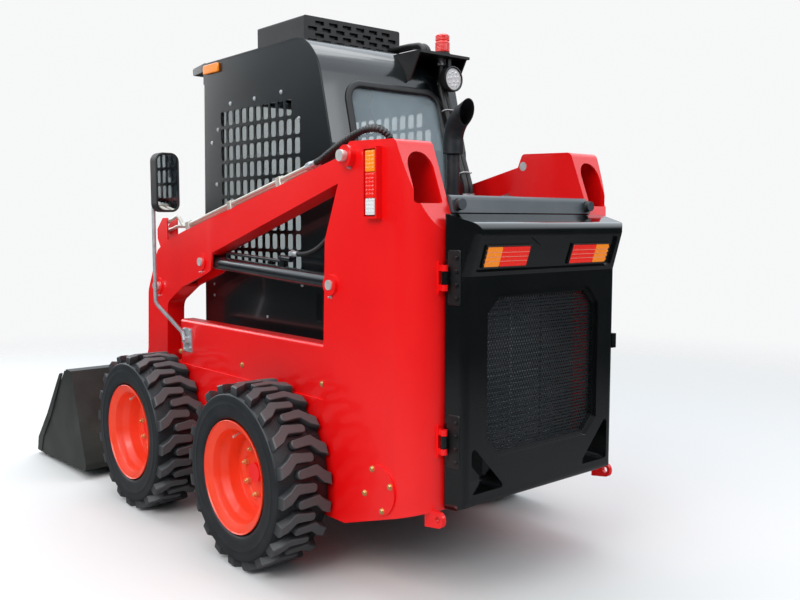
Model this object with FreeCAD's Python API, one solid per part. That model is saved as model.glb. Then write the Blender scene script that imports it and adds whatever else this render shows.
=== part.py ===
import FreeCAD, Part
import math
import os
from FreeCAD import Vector

# Skid steer loader, millimetres.
# While it is built, x runs forward from the rear axle, y to the machine's left, z up from the ground.
# At the end everything is shifted along x so that the origin lies under the middle of its length.

# Wheels
wheelbase = 1037.0
tyre_radius = 386.5
tyre_width = 240.0
wheel_half_track = 705.0
lug_count = 20
lug_height = 27.0
tyre_sides = 20
rim_radius = 236.0
bead_radius = 206.0
rim_width = 222.0
wheel_nut_count = 8
wheel_nut_circle = 105.0
nut_radius = 13.0
hub_bore_radius = 42.0

# Hull, chain cases and towers
hull_half_width = 577.5
case_inner_half = 401.5
hull_plate = 12.0
tub_sheet = 8.0
hull_bottom = 255.6
case_top = 726.0
case_front = 1200.0
belly_rise_start = -447.0
hull_rear = -880.8
hull_rear_bottom = 393.0
rear_corner_radius = 133.0
side_panel_top = 951.0
side_panel_front = 930.0
tower_front = -305.0
tower_top = 1743.0
fit_gap = 0.3
moving_gap = 5.0
cover_x = -661.0
cover_z = 441.0
cover_radius = 97.0
cover_bolt_circle = 80.0
marker_low = 1460.0
marker_high = 1704.0
marker_rear = -674.0
marker_front = -608.0

# Pins of the loader arms, x and z from the rear axle
boom_pivot_x = -490.6
boom_pivot_z = 1687.9
lift_base_x = -369.1
lift_base_z = 1194.0
lift_eye_x = 719.0
lift_eye_z = 1246.8
tilt_base_x = 1194.0
tilt_base_z = 1105.0
bucket_pivot_x = 1600.0
bucket_pivot_z = 235.0
tilt_link = 190.0
tilt_link_angle = 80.0
boom_raise = 65.0
bucket_dump = 106.0
bucket_curl = 28.0
pin_radius = 20.0
pin_gap = 0.05
boss_radius = 41.0

# Loader arms
arm_width = 95.0
arm_plate = 12.0
crossmember_x = 1372.0
crossmember_z = 560.0
crossmember_size = 95.0

# Cylinders
lift_barrel_radius = 32.5
lift_rod_radius = 18.0
lift_barrel_length = 1035.0
tilt_barrel_radius = 28.0
tilt_rod_radius = 15.0
tilt_barrel_length = 640.0
barrel_wall = 6.0
tilt_half_track = 420.0
eye_width = 48.0

# Bucket and its coupling
bucket_half_width = 820.0
bucket_plate = 8.0
bucket_heel_x = 1612.0
bucket_heel_z = 50.0
bucket_top_x = 1813.0
bucket_top_z = 593.0
bucket_lip_x = 2416.0
bucket_lip_z = 20.0
coupler_plate = 12.0
coupler_boss_radius = 52.0

# Cab
cab_half_width = 395.0
cab_plate = 8.0
cab_bottom = 730.0
cab_front = 1012.0
grid_columns = 11
grid_rows = 9
grid_bar = 16.0
rear_window_half = 272.0
seat_half_width = 235.0
door_half_width = 338.0
door_hinge_x = 1018.0
door_hinge_y = 356.0
door_hinge_heights = (960.0, 1900.0)

# Rear door, hood and exhaust
door_gap = 5.0
rear_door_half = 454.0
rear_door_taper = 0.19
rear_door_bottom = 400.0
rear_door_crease = 1247.0
rear_door_lean_top = 1398.0
rear_door_brow = 1434.0
rear_door_top = 1469.0
rear_door_depth = 85.0
rear_door_overhang = 49.0
rear_door_corner = 34.0
rear_door_skin = 30.0
grille_half = 310.0
grille_low = 590.0
grille_high = 1168.0
lamp_bay_depth = 12.0
hinge_heights = (652.0, 1243.0)
hood_half_width = 396.0
hood_bottom = rear_door_top + door_gap
hood_top = 1538.0
hood_front = -525.0
hood_sheet = 5.0
hood_knuckle = 8.0
hood_hinge_z = hood_top + hood_knuckle
hood_hinge_places = (-260.0, 260.0)
engine_top = 1050.0
exhaust_x = -433.0
exhaust_y = -20.0
exhaust_bend = 125.0
exhaust_mouth = (-514.0, 1899.0)
hose_end = (-300.0, 1728.0)
hose_start = (-350.0, 1762.0)
boom_hose_radius = 12.0
pipe_lift = 34.0

# Frame shift: the origin lies under the middle between bucket lip and rear door
door_front = hull_rear - door_gap
door_face = door_front - rear_door_depth
rear_door_rear = door_face - rear_door_overhang
frame_shift = -(bucket_lip_x + rear_door_rear) / 2.0

arm_outer = hull_half_width - hull_plate - moving_gap
arm_inner = arm_outer - arm_width
arm_middle = (arm_outer + arm_inner) / 2.0
pieces = {}


# General shapes

def box(x0, x1, y0, y1, z0, z1):
    return Part.makeBox(x1 - x0, y1 - y0, z1 - z0, Vector(x0, y0, z0))


def rod_y(x, z, radius, y0, y1):
    return Part.makeCylinder(radius, y1 - y0, Vector(x, y0, z), Vector(0, 1, 0))


def rod_z(x, y, radius, z0, z1):
    return Part.makeCylinder(radius, z1 - z0, Vector(x, y, z0), Vector(0, 0, 1))


def rod_x(y, z, radius, x0, x1):
    return Part.makeCylinder(radius, x1 - x0, Vector(x0, y, z), Vector(1, 0, 0))


def rounded_edges(points, radii, closed):
    """Lines through the points, each corner turned by an arc of its own radius."""
    count = len(points)
    starts, ends, arcs = [], [], []
    for i in range(count):
        here = points[i]
        corner = closed or 0 < i < count - 1
        if not corner or radii[i] <= 0:
            starts.append(here)
            ends.append(here)
            arcs.append(None)
            continue
        back = (points[i - 1] - here).normalize()
        ahead = (points[(i + 1) % count] - here).normalize()
        half = back.getAngle(ahead) / 2.0
        reach = radii[i] / math.tan(half)
        middle = (back + ahead).normalize()
        nearest = here + middle * (radii[i] / math.sin(half) - radii[i])
        starts.append(here + back * reach)
        ends.append(here + ahead * reach)
        arcs.append(nearest)
    edges = []
    for i in range(count):
        if arcs[i] is not None:
            edges.append(Part.Arc(starts[i], arcs[i], ends[i]).toShape())
        if i < count - 1 or closed:
            after = starts[(i + 1) % count]
            if (after - ends[i]).Length > 0.001:
                edges.append(Part.LineSegment(ends[i], after).toShape())
    return edges


def side_face(table):
    """Face in the xz plane; table columns: x, z, corner radius."""
    points = [Vector(x, 0, z) for x, z, radius in table]
    radii = [radius for x, z, radius in table]
    return Part.Face(Part.Wire(rounded_edges(points, radii, True)))


def side_plate(table, y0, y1):
    face = side_face(table)
    face.translate(Vector(0, y0, 0))
    return face.extrude(Vector(0, y1 - y0, 0))


def plan_plate(table, z0, z1):
    """Plate from a plan outline; table columns: x, y, corner radius."""
    points = [Vector(x, y, z0) for x, y, radius in table]
    radii = [radius for x, y, radius in table]
    face = Part.Face(Part.Wire(rounded_edges(points, radii, True)))
    return face.extrude(Vector(0, 0, z1 - z0))


def rear_plate(table, x0, x1):
    """Plate from an outline in the yz plane; table columns: y, z, corner radius."""
    points = [Vector(x0, y, z) for y, z, radius in table]
    radii = [radius for y, z, radius in table]
    face = Part.Face(Part.Wire(rounded_edges(points, radii, True)))
    return face.extrude(Vector(x1 - x0, 0, 0))


def side_band(table, thickness, y0, y1):
    """Bent sheet: the outline less the same outline moved inwards."""
    face = side_face(table)
    inner = face.makeOffset2D(-thickness)
    band = face.cut(inner)
    band.translate(Vector(0, y0, 0))
    return band.extrude(Vector(0, y1 - y0, 0))


def pipe(points, radii, radius):
    """Round tube filled solid along straight runs joined by arcs."""
    path = Part.Wire(rounded_edges(points, radii, False))
    start = points[0]
    ring = Part.Wire(Part.makeCircle(radius, start, points[1] - start))
    return path.makePipeShell([ring], True, False)


def mirrored(shape):
    return shape.mirror(Vector(0, 0, 0), Vector(0, 1, 0))


def fused(shapes):
    result = shapes[0].multiFuse(shapes[1:]) if len(shapes) > 1 else shapes[0]
    return result.removeSplitter()


def both_sides(shape):
    return [shape, mirrored(shape)]


def polar(x, z, distance, degrees):
    angle = math.radians(degrees)
    return x + distance * math.cos(angle), z + distance * math.sin(angle)


def turned(x, z, about_x, about_z, degrees):
    """A point in the side view turned about another, nose up positive."""
    reach = math.hypot(x - about_x, z - about_z)
    start = math.degrees(math.atan2(z - about_z, x - about_x))
    return polar(about_x, about_z, reach, start + degrees)


# Cylinder geometry, used for the solids and for the joints

def reach_and_angle(x0, z0, x1, z1):
    return math.hypot(x1 - x0, z1 - z0), math.degrees(math.atan2(z1 - z0, x1 - x0))


def linkage():
    """Lengths and angles of both cylinder pairs at rest and at the ends of their travel."""
    up_x, up_z = turned(lift_eye_x, lift_eye_z, boom_pivot_x, boom_pivot_z, boom_raise)
    lift_rest = reach_and_angle(lift_base_x, lift_base_z, lift_eye_x, lift_eye_z)
    lift_up = reach_and_angle(lift_base_x, lift_base_z, up_x, up_z)
    eye_x, eye_z = polar(bucket_pivot_x, bucket_pivot_z, tilt_link, tilt_link_angle)
    far_x, far_z = polar(bucket_pivot_x, bucket_pivot_z, tilt_link, tilt_link_angle - bucket_dump)
    tilt_rest = reach_and_angle(tilt_base_x, tilt_base_z, eye_x, eye_z)
    tilt_out = reach_and_angle(tilt_base_x, tilt_base_z, far_x, far_z)
    raise_radians = math.radians(boom_raise)
    dump_radians = math.radians(bucket_dump)
    return {
        "lift_length": lift_rest[0],
        "lift_angle": lift_rest[1],
        "lift_swing": lift_up[1] - lift_rest[1],
        "lift_stroke": lift_up[0] - lift_rest[0],
        "lift_swing_ratio": (lift_up[1] - lift_rest[1]) / boom_raise,
        "lift_slide_ratio": (lift_up[0] - lift_rest[0]) / raise_radians,
        "tilt_eye": (eye_x, eye_z),
        "tilt_length": tilt_rest[0],
        "tilt_angle": tilt_rest[1],
        "tilt_swing_ratio": -(tilt_out[1] - tilt_rest[1]) / bucket_dump,
        "tilt_slide_ratio": (tilt_out[0] - tilt_rest[0]) / dump_radians,
    }


# Wheels

def ring_shell(profile, sides):
    """Closed ring with flat faces: each profile point (y, radius) becomes a ring of corners."""
    rings = []
    for y, radius in profile:
        ring = []
        for i in range(sides):
            angle = 2.0 * math.pi * i / sides
            ring.append(Vector(radius * math.sin(angle), y, radius * math.cos(angle)))
        rings.append(ring)
    faces = []
    for a in range(len(rings)):
        b = (a + 1) % len(rings)
        for i in range(sides):
            j = (i + 1) % sides
            corners = [rings[a][i], rings[b][i], rings[b][j], rings[a][j], rings[a][i]]
            faces.append(Part.Face(Part.makePolygon(corners)))
    solid = Part.Solid(Part.Shell(faces))
    solid.fix(0.001, 0.001, 0.001)
    return solid


def tyre_shape():
    """Tyre about the y axis: flat-sided carcass with two staggered rows of bent lugs."""
    half = tyre_width / 2.0
    tread = tyre_radius - lug_height
    shoulder = half - 30.0
    bulge = (tread + rim_radius) / 2.0
    seat = (bead_radius + 4.0 + fit_gap) / math.cos(math.pi / tyre_sides)
    flange_inside = rim_width / 2.0 - 21.0
    clear_of_flange = rim_radius + 6.0
    profile = [
        (-flange_inside, seat),
        (-flange_inside, clear_of_flange),
        (-half, bulge),
        (-shoulder, tread),
        (shoulder, tread),
        (half, bulge),
        (flange_inside, clear_of_flange),
        (flange_inside, seat),
    ]
    carcass = ring_shell(profile, tyre_sides)
    reach = tyre_radius * math.cos(math.pi / lug_count * 0.5)
    root = tread - 24.0
    pitch = 2.0 * math.pi * tyre_radius / lug_count
    lead = 0.40 * pitch
    width = 0.36 * pitch
    # Bent bar in plan; columns: distance round the tread, distance across it
    bar = [
        (-width * 0.60, half - 2.0),
        (width * 0.60, half - 2.0),
        (lead + width * 0.42, half * 0.42),
        (lead + width * 0.42, -half * 0.10),
        (lead - width * 0.42, -half * 0.10),
    ]
    middle = lead * 0.5
    lugs = []
    for side in (1, -1):
        for i in range(lug_count):
            corners = [Vector(along - middle, across * side, root) for along, across in bar]
            corners.append(corners[0])
            lug = Part.Face(Part.makePolygon(corners)).extrude(Vector(0, 0, reach - root))
            stagger = 0.5 if side < 0 else 0.0
            turn = 360.0 * (i + stagger) / lug_count
            lug.rotate(Vector(0, 0, 0), Vector(0, 1, 0), turn)
            lugs.append(lug)
    return carcass.multiFuse(lugs)


def rim_shape():
    """Deep dished rim about the y axis, outer side towards +y, with centre disc and wheel nuts."""
    half = rim_width / 2.0
    sheet = 8.0
    disc_y = -8.0
    well = bead_radius - 22.0
    # Barrel and disc section; columns: y, radius
    section = [
        (half, rim_radius),
        (half - sheet, rim_radius),
        (half - 2.0 * sheet, bead_radius + 4.0),
        (half - 3.5 * sheet, bead_radius + 4.0),
        (half - 50.0, bead_radius - 2.0),
        (half - 78.0, well),
        (disc_y - 60.0, well),
        (3.5 * sheet - half, bead_radius + 4.0),
        (2.0 * sheet - half, bead_radius + 4.0),
        (sheet - half, rim_radius),
        (-half, rim_radius),
        (-half + 14.0, bead_radius - 8.0),
        (disc_y - 40.0, well - 10.0),
        (disc_y - 12.0, well - 12.0),
        (disc_y, 150.0),
        (disc_y - 12.0, hub_bore_radius + 74.0),
        (disc_y - 12.0, hub_bore_radius),
        (disc_y, hub_bore_radius),
        (disc_y, hub_bore_radius + 78.0),
        (disc_y + 12.0, 152.0),
        (disc_y + 2.0, well - 12.0),
        (half - 72.0, well - 12.0),
        (half - 12.0, bead_radius - 8.0),
    ]
    points = [Vector(radius, y, 0) for y, radius in section]
    face = Part.Face(Part.makePolygon(points + [points[0]]))
    rim = face.revolve(Vector(0, 0, 0), Vector(0, 1, 0), 360)
    nuts = []
    for i in range(wheel_nut_count):
        x, z = polar(0.0, 0.0, wheel_nut_circle, 360.0 * i / wheel_nut_count)
        nuts.append(rod_y(x, z, nut_radius, disc_y - 2.0, disc_y + 20.0))
    return fused([rim] + nuts)


def make_wheels():
    tyre = tyre_shape()
    rim = rim_shape()
    places = (
        ("front_left", wheelbase, 1),
        ("front_right", wheelbase, -1),
        ("rear_left", 0.0, 1),
        ("rear_right", 0.0, -1),
    )
    for name, x, side in places:
        for kind, shape in (("tyre", tyre), ("rim", rim)):
            copy = shape.copy() if side > 0 else mirrored(shape)
            copy.translate(Vector(x, side * wheel_half_track, tyre_radius))
            pieces[kind + "_" + name] = [copy]


def axle_parts():
    """Axle housing, flange and shaft end behind each rim disc, left side."""
    disc_back = wheel_half_track - 20.0
    z = tyre_radius
    parts = []
    for x in (0.0, wheelbase):
        parts.append(rod_y(x, z, 74.0, hull_half_width - 1.0, disc_back - 40.0))
        parts.append(rod_y(x, z, 125.0, hull_half_width - 1.0, hull_half_width + 14.0))
        parts.append(rod_y(x, z, hub_bore_radius - 0.5, disc_back - 41.0, disc_back + 34.0))
    return parts


# Hull

def tower_side_table():
    """Side outline of a tower; columns: x, z, corner radius."""
    return [
        (tower_front, hull_bottom, 0),
        (tower_front, case_top, 0),
        (tower_front - 22.6, 1368.9, 40),
        (-415.5, 1583.2, 40),
        (-485.0, tower_top, 22),
        (-757.3, tower_top - 8.0, 30),
        (-855.1, 1479.5, 40),
        (hull_rear, 1413.0, 0),
        (hull_rear, hull_rear_bottom, 0),
        (belly_rise_start, hull_bottom, 0),
    ]


def tower_block(half_outer, half_inner, rear, corner, table_face):
    plan = plan_plate([
        (0.0, half_inner, 0),
        (0.0, half_outer, 0),
        (rear, half_outer, corner),
        (rear, half_inner, 0),
    ], 0.0, 2000.0)
    face = table_face.copy()
    face.translate(Vector(0, 300, 0))
    side = face.extrude(Vector(0, 400, 0))
    return plan.common(side)


def make_towers():
    face = side_face(tower_side_table())
    outer = tower_block(hull_half_width, case_inner_half, hull_rear, rear_corner_radius, face)
    inner_face = face.makeOffset2D(-hull_plate)
    half_outer = hull_half_width - hull_plate
    half_inner = case_inner_half + hull_plate
    corner = rear_corner_radius - hull_plate
    hollow = tower_block(half_outer, half_inner, hull_rear + hull_plate, corner, inner_face)
    opened = hollow.copy()
    opened.translate(Vector(2.0 * hull_plate, 0, 0))
    shell = outer.cut(hollow.fuse(opened))
    middle = (half_inner + half_outer) / 2.0
    arch = 62.0
    window = rear_plate([
        (middle - arch, 1506.0, 12),
        (middle - arch, 1692.0, arch - 2.0),
        (middle + arch, 1692.0, arch - 2.0),
        (middle + arch, 1506.0, 12),
    ], -900.0, -700.0)
    arm_slot = box(boom_pivot_x - boss_radius, boom_pivot_x + 150.0, half_inner, half_outer, 1600.0, 1800.0)
    shell = shell.cut(window).cut(arm_slot)
    cover = rod_y(cover_x, cover_z, cover_radius, hull_half_width - 1.0, hull_half_width + 8.0)
    parts = [shell, cover]
    for i in range(4):
        x, z = polar(cover_x, cover_z, cover_bolt_circle, 69.0 + 90.0 * i)
        parts.append(rod_y(x, z, 8.0, hull_half_width, hull_half_width + 14.0))
    for x, z, reach in ((boom_pivot_x, boom_pivot_z, 26.0), (lift_base_x, lift_base_z, 12.0)):
        parts.append(rod_y(x, z, boss_radius, hull_half_width - 1.0, hull_half_width + reach))
    channel = box(marker_rear - 8.0, marker_front + 4.0, hull_half_width - 1.0, hull_half_width + 26.0,
                  marker_low - 8.0, marker_high + 8.0)
    pocket = box(marker_rear, marker_front, hull_half_width + 4.0, hull_half_width + 30.0, marker_low, marker_high)
    parts.append(channel.cut(pocket))
    tow_eye = side_plate([
        (-835.0, 330.0, 0),
        (-835.0, 398.0, 0),
        (-930.0, 398.0, 26),
        (-930.0, 344.0, 26),
    ], 486.0, 504.0)
    parts.append(tow_eye.cut(rod_y(-904.0, 371.0, 12.5, 480.0, 510.0)))
    tower = fused(parts)
    for x, z in ((boom_pivot_x, boom_pivot_z), (lift_base_x, lift_base_z)):
        tower = tower.cut(rod_y(x, z, pin_radius + fit_gap, case_inner_half - 5.0, hull_half_width + 30.0))
    pieces["towers"] = [fused([tower] + hinge_leaves()), mirrored(tower)]


def make_tower_pins():
    """Boom pivot pins with their collared stubs, and the lift cylinders' base pins."""
    boom_pin = rod_y(boom_pivot_x, boom_pivot_z, pin_radius, case_inner_half - 1.0, hull_half_width + 38.0)
    collar = rod_y(boom_pivot_x, boom_pivot_z, pin_radius + 2.0, hull_half_width + 36.0, hull_half_width + 50.0)
    base_pin = rod_y(lift_base_x, lift_base_z, pin_radius, case_inner_half - 1.0, hull_half_width + 18.0)
    pieces["tower_pins"] = both_sides(fused([boom_pin, collar])) + both_sides(base_pin)


def make_chain_cases():
    start = tower_front + fit_gap
    case = side_plate([
        (start, hull_bottom, 0),
        (start, case_top, 0),
        (1030.0, case_top, 0),
        (case_front, 530.0, 30),
        (case_front, hull_bottom, 40),
    ], case_inner_half, hull_half_width)
    outer = hull_half_width - 6.0
    lip = 70.0
    panel = rear_plate([
        (outer - hull_plate, case_top - 1.0, 0),
        (outer - hull_plate, side_panel_top - hull_plate, 6),
        (outer - lip, side_panel_top - hull_plate, 0),
        (outer - lip, side_panel_top, 0),
        (outer, side_panel_top, 16),
        (outer, case_top - 1.0, 0),
    ], start, side_panel_front)
    pieces["chain_cases"] = both_sides(fused([case, panel] + axle_parts()))


def make_tub():
    """Belly pan, footwell front and inner walls between the chain cases."""
    half = case_inner_half - fit_gap
    sheet = tub_sheet
    belly = side_plate([
        (hull_rear + 2.0, hull_rear_bottom, 0),
        (belly_rise_start, hull_bottom, 0),
        (case_front, hull_bottom, 30),
        (case_front, case_top, 0),
        (case_front - sheet, case_top, 0),
        (case_front - sheet, hull_bottom + sheet, 22),
        (belly_rise_start, hull_bottom + sheet, 0),
        (hull_rear + 2.0, hull_rear_bottom + sheet, 0),
    ], -half, half)
    rear_beam = box(hull_rear + 2.0, hull_rear + 60.0, -half, half, hull_rear_bottom, hull_rear_bottom + 90.0)
    step = box(960.0, case_front, -half, half, case_top - sheet, case_top)
    cab_seat = cab_bottom + cab_plate
    front_bar = box(960.0, 1010.0, -half, half, case_top - sheet, cab_seat)
    rear_bar = box(-90.0, -30.0, -half, half, case_top - 60.0, cab_seat)
    pieces["chassis_tub"] = [fused([belly, rear_beam, step, front_bar]), rear_bar]


def make_engine():
    """Engine as one plain heavy block on feet, and the radiator core on its crossbar."""
    floor = hull_bottom + tub_sheet
    block = box(-480.0, -170.0, -190.0, 190.0, floor + 100.0, engine_top)
    feet = []
    for x in (-430.0, -260.0):
        for y in (-150.0, 90.0):
            feet.append(box(x, x + 60.0, y, y + 60.0, floor + fit_gap, floor + 101.0))
    pieces["engine_block"] = [fused([block] + feet)]
    half = case_inner_half - fit_gap
    core = box(-790.0, -730.0, -310.0, 310.0, 540.0, 1230.0)
    crossbar = box(-790.0, -730.0, -half, half, 500.0, 541.0)
    pieces["radiator"] = [fused([core, crossbar])]


def make_deck():
    """Fixed cover between hood and cab."""
    half = case_inner_half - fit_gap
    deck = box(hood_front + moving_gap, -215.0, -half, half, hood_top - 6.0, hood_top)
    skirt = box(hood_front + moving_gap, hood_front + moving_gap + 6.0, -half, half, hood_top - 70.0, hood_top)
    hole = rod_z(exhaust_x, exhaust_y, 40.0, hood_top - 20.0, hood_top + 20.0)
    leaves = []
    for y in hood_hinge_places:
        for end in (-1, 1):
            middle = y + end * 30.0
            leaves.append(rod_y(hood_front, hood_hinge_z, hood_knuckle, middle - 9.0, middle + 9.0))
            leaves.append(box(hood_front, hood_front + 40.0, middle - 9.0, middle + 9.0, hood_top - 1.0, hood_top + 4.0))
        leaves.append(rod_y(hood_front, hood_hinge_z, 4.0, y - 39.0, y + 39.0))
    pieces["engine_deck"] = [fused([deck, skirt] + leaves).cut(hole)]


# Hood, rear door

def make_hood():
    rear = hull_rear + 12.0
    shape = side_plate([
        (rear, hood_bottom, 0),
        (rear + 18.0, hood_top, 24),
        (hood_front, hood_top, 0),
        (hood_front, hood_top - hood_sheet, 0),
        (rear + 22.0, hood_top - hood_sheet, 20),
        (rear + hood_sheet, hood_bottom, 0),
    ], -hood_half_width, hood_half_width)
    flange = side_plate([
        (rear + 2.0, hood_bottom, 0),
        (rear + 19.0, hood_top - 1.0, 20),
        (hood_front, hood_top - 1.0, 0),
        (hood_front, hood_top - 50.0, 0),
        (rear + 70.0, hood_bottom + 8.0, 20),
        (rear + 45.0, hood_bottom, 0),
    ], hood_half_width - hood_sheet, hood_half_width)
    knobs = []
    for side in (1, -1):
        stem = rod_x(side * 373.0, hood_bottom + 30.0, 9.0, rear - 6.0, rear + 26.0)
        head = rod_x(side * 373.0, hood_bottom + 30.0, 20.0, rear - 22.0, rear - 5.0)
        knobs += [stem, head]
    leaves = []
    for y in hood_hinge_places:
        leaves.append(rod_y(hood_front, hood_hinge_z, hood_knuckle, y - 20.0, y + 20.0))
        leaves.append(box(hood_front - 40.0, hood_front, y - 20.0, y + 20.0, hood_top - 1.0, hood_top + 4.0))
    hood = fused([shape] + both_sides(flange) + knobs + leaves)
    for y in hood_hinge_places:
        hood = hood.cut(rod_y(hood_front, hood_hinge_z, 4.0 + pin_gap, y - 60.0, y + 60.0))
    pieces["engine_hood"] = [hood]


def door_plan(rear, z):
    """Rounded plan outline of the rear door at a height where its face lies at rear."""
    half = rear_door_half - rear_door_taper * (door_front - rear)
    corners = [
        Vector(door_front, -rear_door_half, z),
        Vector(rear, -half, z),
        Vector(rear, half, z),
        Vector(door_front, rear_door_half, z),
    ]
    return Part.Wire(rounded_edges(corners, [0, rear_door_corner, rear_door_corner, 0], True))


def leaned(shape):
    """Turns a shape drawn on the upright door face at the crease into the leaning brow."""
    lean = math.degrees(math.atan2(rear_door_overhang, rear_door_lean_top - rear_door_crease))
    shape.rotate(Vector(door_face, 0, rear_door_crease), Vector(0, 1, 0), -lean)
    return shape


def make_rear_door():
    """Deep moulded door with a leaning brow for the lamps, a hollow back and two grip pockets."""
    low, top, crease = rear_door_bottom, rear_door_top, rear_door_crease
    side = side_plate([
        (door_front, low, 0),
        (door_face, low, 40),
        (door_face, crease, 0),
        (rear_door_rear, rear_door_lean_top, 60),
        (rear_door_rear, rear_door_brow, 28),
        (door_front, top, 0),
    ], -rear_door_half, rear_door_half)
    lower = Part.Face(door_plan(door_face, low)).extrude(Vector(0, 0, crease - low))
    brow = Part.makeLoft([door_plan(door_face, crease), door_plan(rear_door_rear, rear_door_lean_top)], True, True)
    upper = Part.Face(door_plan(rear_door_rear, rear_door_lean_top)).extrude(Vector(0, 0, top - rear_door_lean_top))
    solid = fused([lower, brow, upper]).common(side)
    back = door_face + rear_door_skin
    inside = rear_door_half - 30.0
    solid = solid.cut(box(back, door_front + 1.0, -inside, inside, 656.0, top - 37.0))
    solid = solid.cut(box(back, door_front + 1.0, -grille_half - 16.0, grille_half + 16.0, 576.0, 657.0))
    bay = leaned(rear_plate([
        (-393.0, crease + 145.0, 20),
        (-132.0, crease + 145.0, 8),
        (-69.0, crease + 109.0, 8),
        (69.0, crease + 109.0, 8),
        (132.0, crease + 145.0, 8),
        (393.0, crease + 145.0, 20),
        (393.0, crease + 16.0, 14),
        (-393.0, crease + 16.0, 14),
    ], door_face - 30.0, door_face + lamp_bay_depth))
    hole = octagon(grille_half, grille_low, grille_high, 60.0, door_face - 20.0, door_front + 20.0)
    funnel = octagon(grille_half + 16.0, grille_low - 16.0, grille_high + 16.0, 66.0, door_face - 20.0, door_face + 12.0)
    solid = solid.cut(bay).cut(hole).cut(funnel)
    for hand in (1, -1):
        pocket = rear_plate([
            (hand * 400.0, 642.0, 14),
            (hand * 400.0, 455.0, 14),
            (hand * 236.0, 455.0, 6),
            (hand * 236.0, 470.0, 6),
        ], door_face - 20.0, door_face + 60.0)
        solid = solid.cut(pocket)
    latch = box(door_face + 4.0, door_front - 40.0, -rear_door_half - 6.0, 20.0 - rear_door_half, 915.0, 975.0)
    lugs = []
    for z in hinge_heights:
        lugs.append(box(hinge_x() - 7.0, hinge_x() + 7.0, rear_door_half - 14.0, hinge_y(), z - 22.0, z + 22.0))
        lugs.append(rod_z(hinge_x(), hinge_y(), 12.5, z - 22.0, z + 22.0))
    solid = fused([solid, latch] + lugs)
    for z in hinge_heights:
        solid = solid.cut(rod_z(hinge_x(), hinge_y(), 6.0 + pin_gap, z - 60.0, z + 60.0))
    pieces["rear_door"] = [solid]


def hinge_x():
    return hull_rear - door_gap - 19.0


def hinge_y():
    return rear_door_half + 21.0


def octagon(half, low, high, chamfer, x0, x1):
    return rear_plate([
        (-half, low + chamfer, 8),
        (-half, high - chamfer, 8),
        (-half + chamfer, high, 8),
        (half - chamfer, high, 8),
        (half, high - chamfer, 8),
        (half, low + chamfer, 8),
        (half - chamfer, low, 8),
        (-half + chamfer, low, 8),
    ], x0, x1)


def hinge_leaves():
    """Fixed halves of the rear door's hinges on the left tower, with their pins."""
    x, y = hinge_x(), hinge_y()
    parts = []
    for z in hinge_heights:
        for end in (-1, 1):
            middle = z + end * 35.0
            parts.append(box(x, hull_rear + 8.0, y - 8.0, y + 8.0, middle - 11.0, middle + 11.0))
            parts.append(rod_z(x, y, 12.5, middle - 11.0, middle + 11.0))
        parts.append(box(hull_rear - 4.0, hull_rear + 8.0, y - 14.0, y + 10.0, z - 60.0, z + 60.0))
        parts.append(rod_z(x, y, 6.0, z - 46.0, z + 46.0))
    return parts


def make_door_grille():
    """Slotted panel with a raised border, behind the door's opening."""
    seat = door_face + rear_door_skin + fit_gap
    rear = seat + 8.0
    half_y, low, high = grille_half + 12.0, grille_low - 10.0, grille_high + 12.0
    columns, rows = 20, 5
    margin = 20.0

    def loop(y0, y1, z0, z1):
        corners = [Vector(rear, y0, z0), Vector(rear, y1, z0), Vector(rear, y1, z1), Vector(rear, y0, z1)]
        return Part.makePolygon(corners + [corners[0]])

    wires = [loop(-half_y, half_y, low, high)]
    pitch_y = 2.0 * (half_y - margin) / columns
    pitch_z = (high - low - 2.0 * margin) / rows
    for i in range(columns):
        for j in range(rows):
            y0 = -half_y + margin + pitch_y * (i + 0.22)
            z0 = low + margin + pitch_z * j + 8.0
            wires.append(loop(y0, y0 + pitch_y * 0.56, z0, z0 + pitch_z - 16.0))
    panel = Part.makeFace(wires, "Part::FaceMakerBullseye").extrude(Vector(4.0, 0, 0))
    border = box(seat, rear + 1.0, -half_y, half_y, low, high)
    border = border.cut(octagon(grille_half + 1.0, grille_low - 1.0, grille_high + 1.0, 60.0, seat - 10.0, rear + 10.0))
    pieces["door_grille"] = [fused([panel, border])]


def make_tail_lamps():
    low, high = rear_door_crease + 27.0, rear_door_crease + 113.0
    lamp = leaned(rear_plate([
        (120.0, low, 12),
        (358.0, low, 12),
        (358.0, high, 12),
        (120.0, high, 12),
    ], door_face + 1.0, door_face + lamp_bay_depth - fit_gap))
    pieces["tail_lamps"] = both_sides(lamp)


def make_marker_lamps():
    gap = 3.0
    lamp = box(marker_rear + gap, marker_front - gap, hull_half_width + 4.0 + fit_gap, hull_half_width + 24.0,
               marker_low + gap, marker_high - gap)
    side_lamp = box(804.0, 958.0, cab_half_width + fit_gap, cab_half_width + 16.0, 2184.0, 2232.0)
    pieces["marker_lamps"] = both_sides(lamp) + both_sides(side_lamp)


# Cab

def cab_table():
    """Side outline of the cab; columns: x, z, corner radius."""
    return [
        (cab_front, cab_bottom, 0),
        (975.0, 2205.0, 0),
        (960.0, 2243.0, 20),
        (60.0, 2247.0, 200),
        (-44.0, 2127.0, 200),
        (-133.0, 1773.0, 0),
        (-175.0, 1150.0, 40),
        (-60.0, cab_bottom, 0),
    ]


def cab_inner_face(inset):
    return side_face(cab_table()).makeOffset2D(-inset)


def cab_rear_edge(z):
    """Rear edge of the side plates at a height of the windows."""
    (x0, z0, r0), (x1, z1, r1) = cab_table()[4], cab_table()[5]
    return x0 + (x1 - x0) * (z0 - z) / (z0 - z1)


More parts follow.
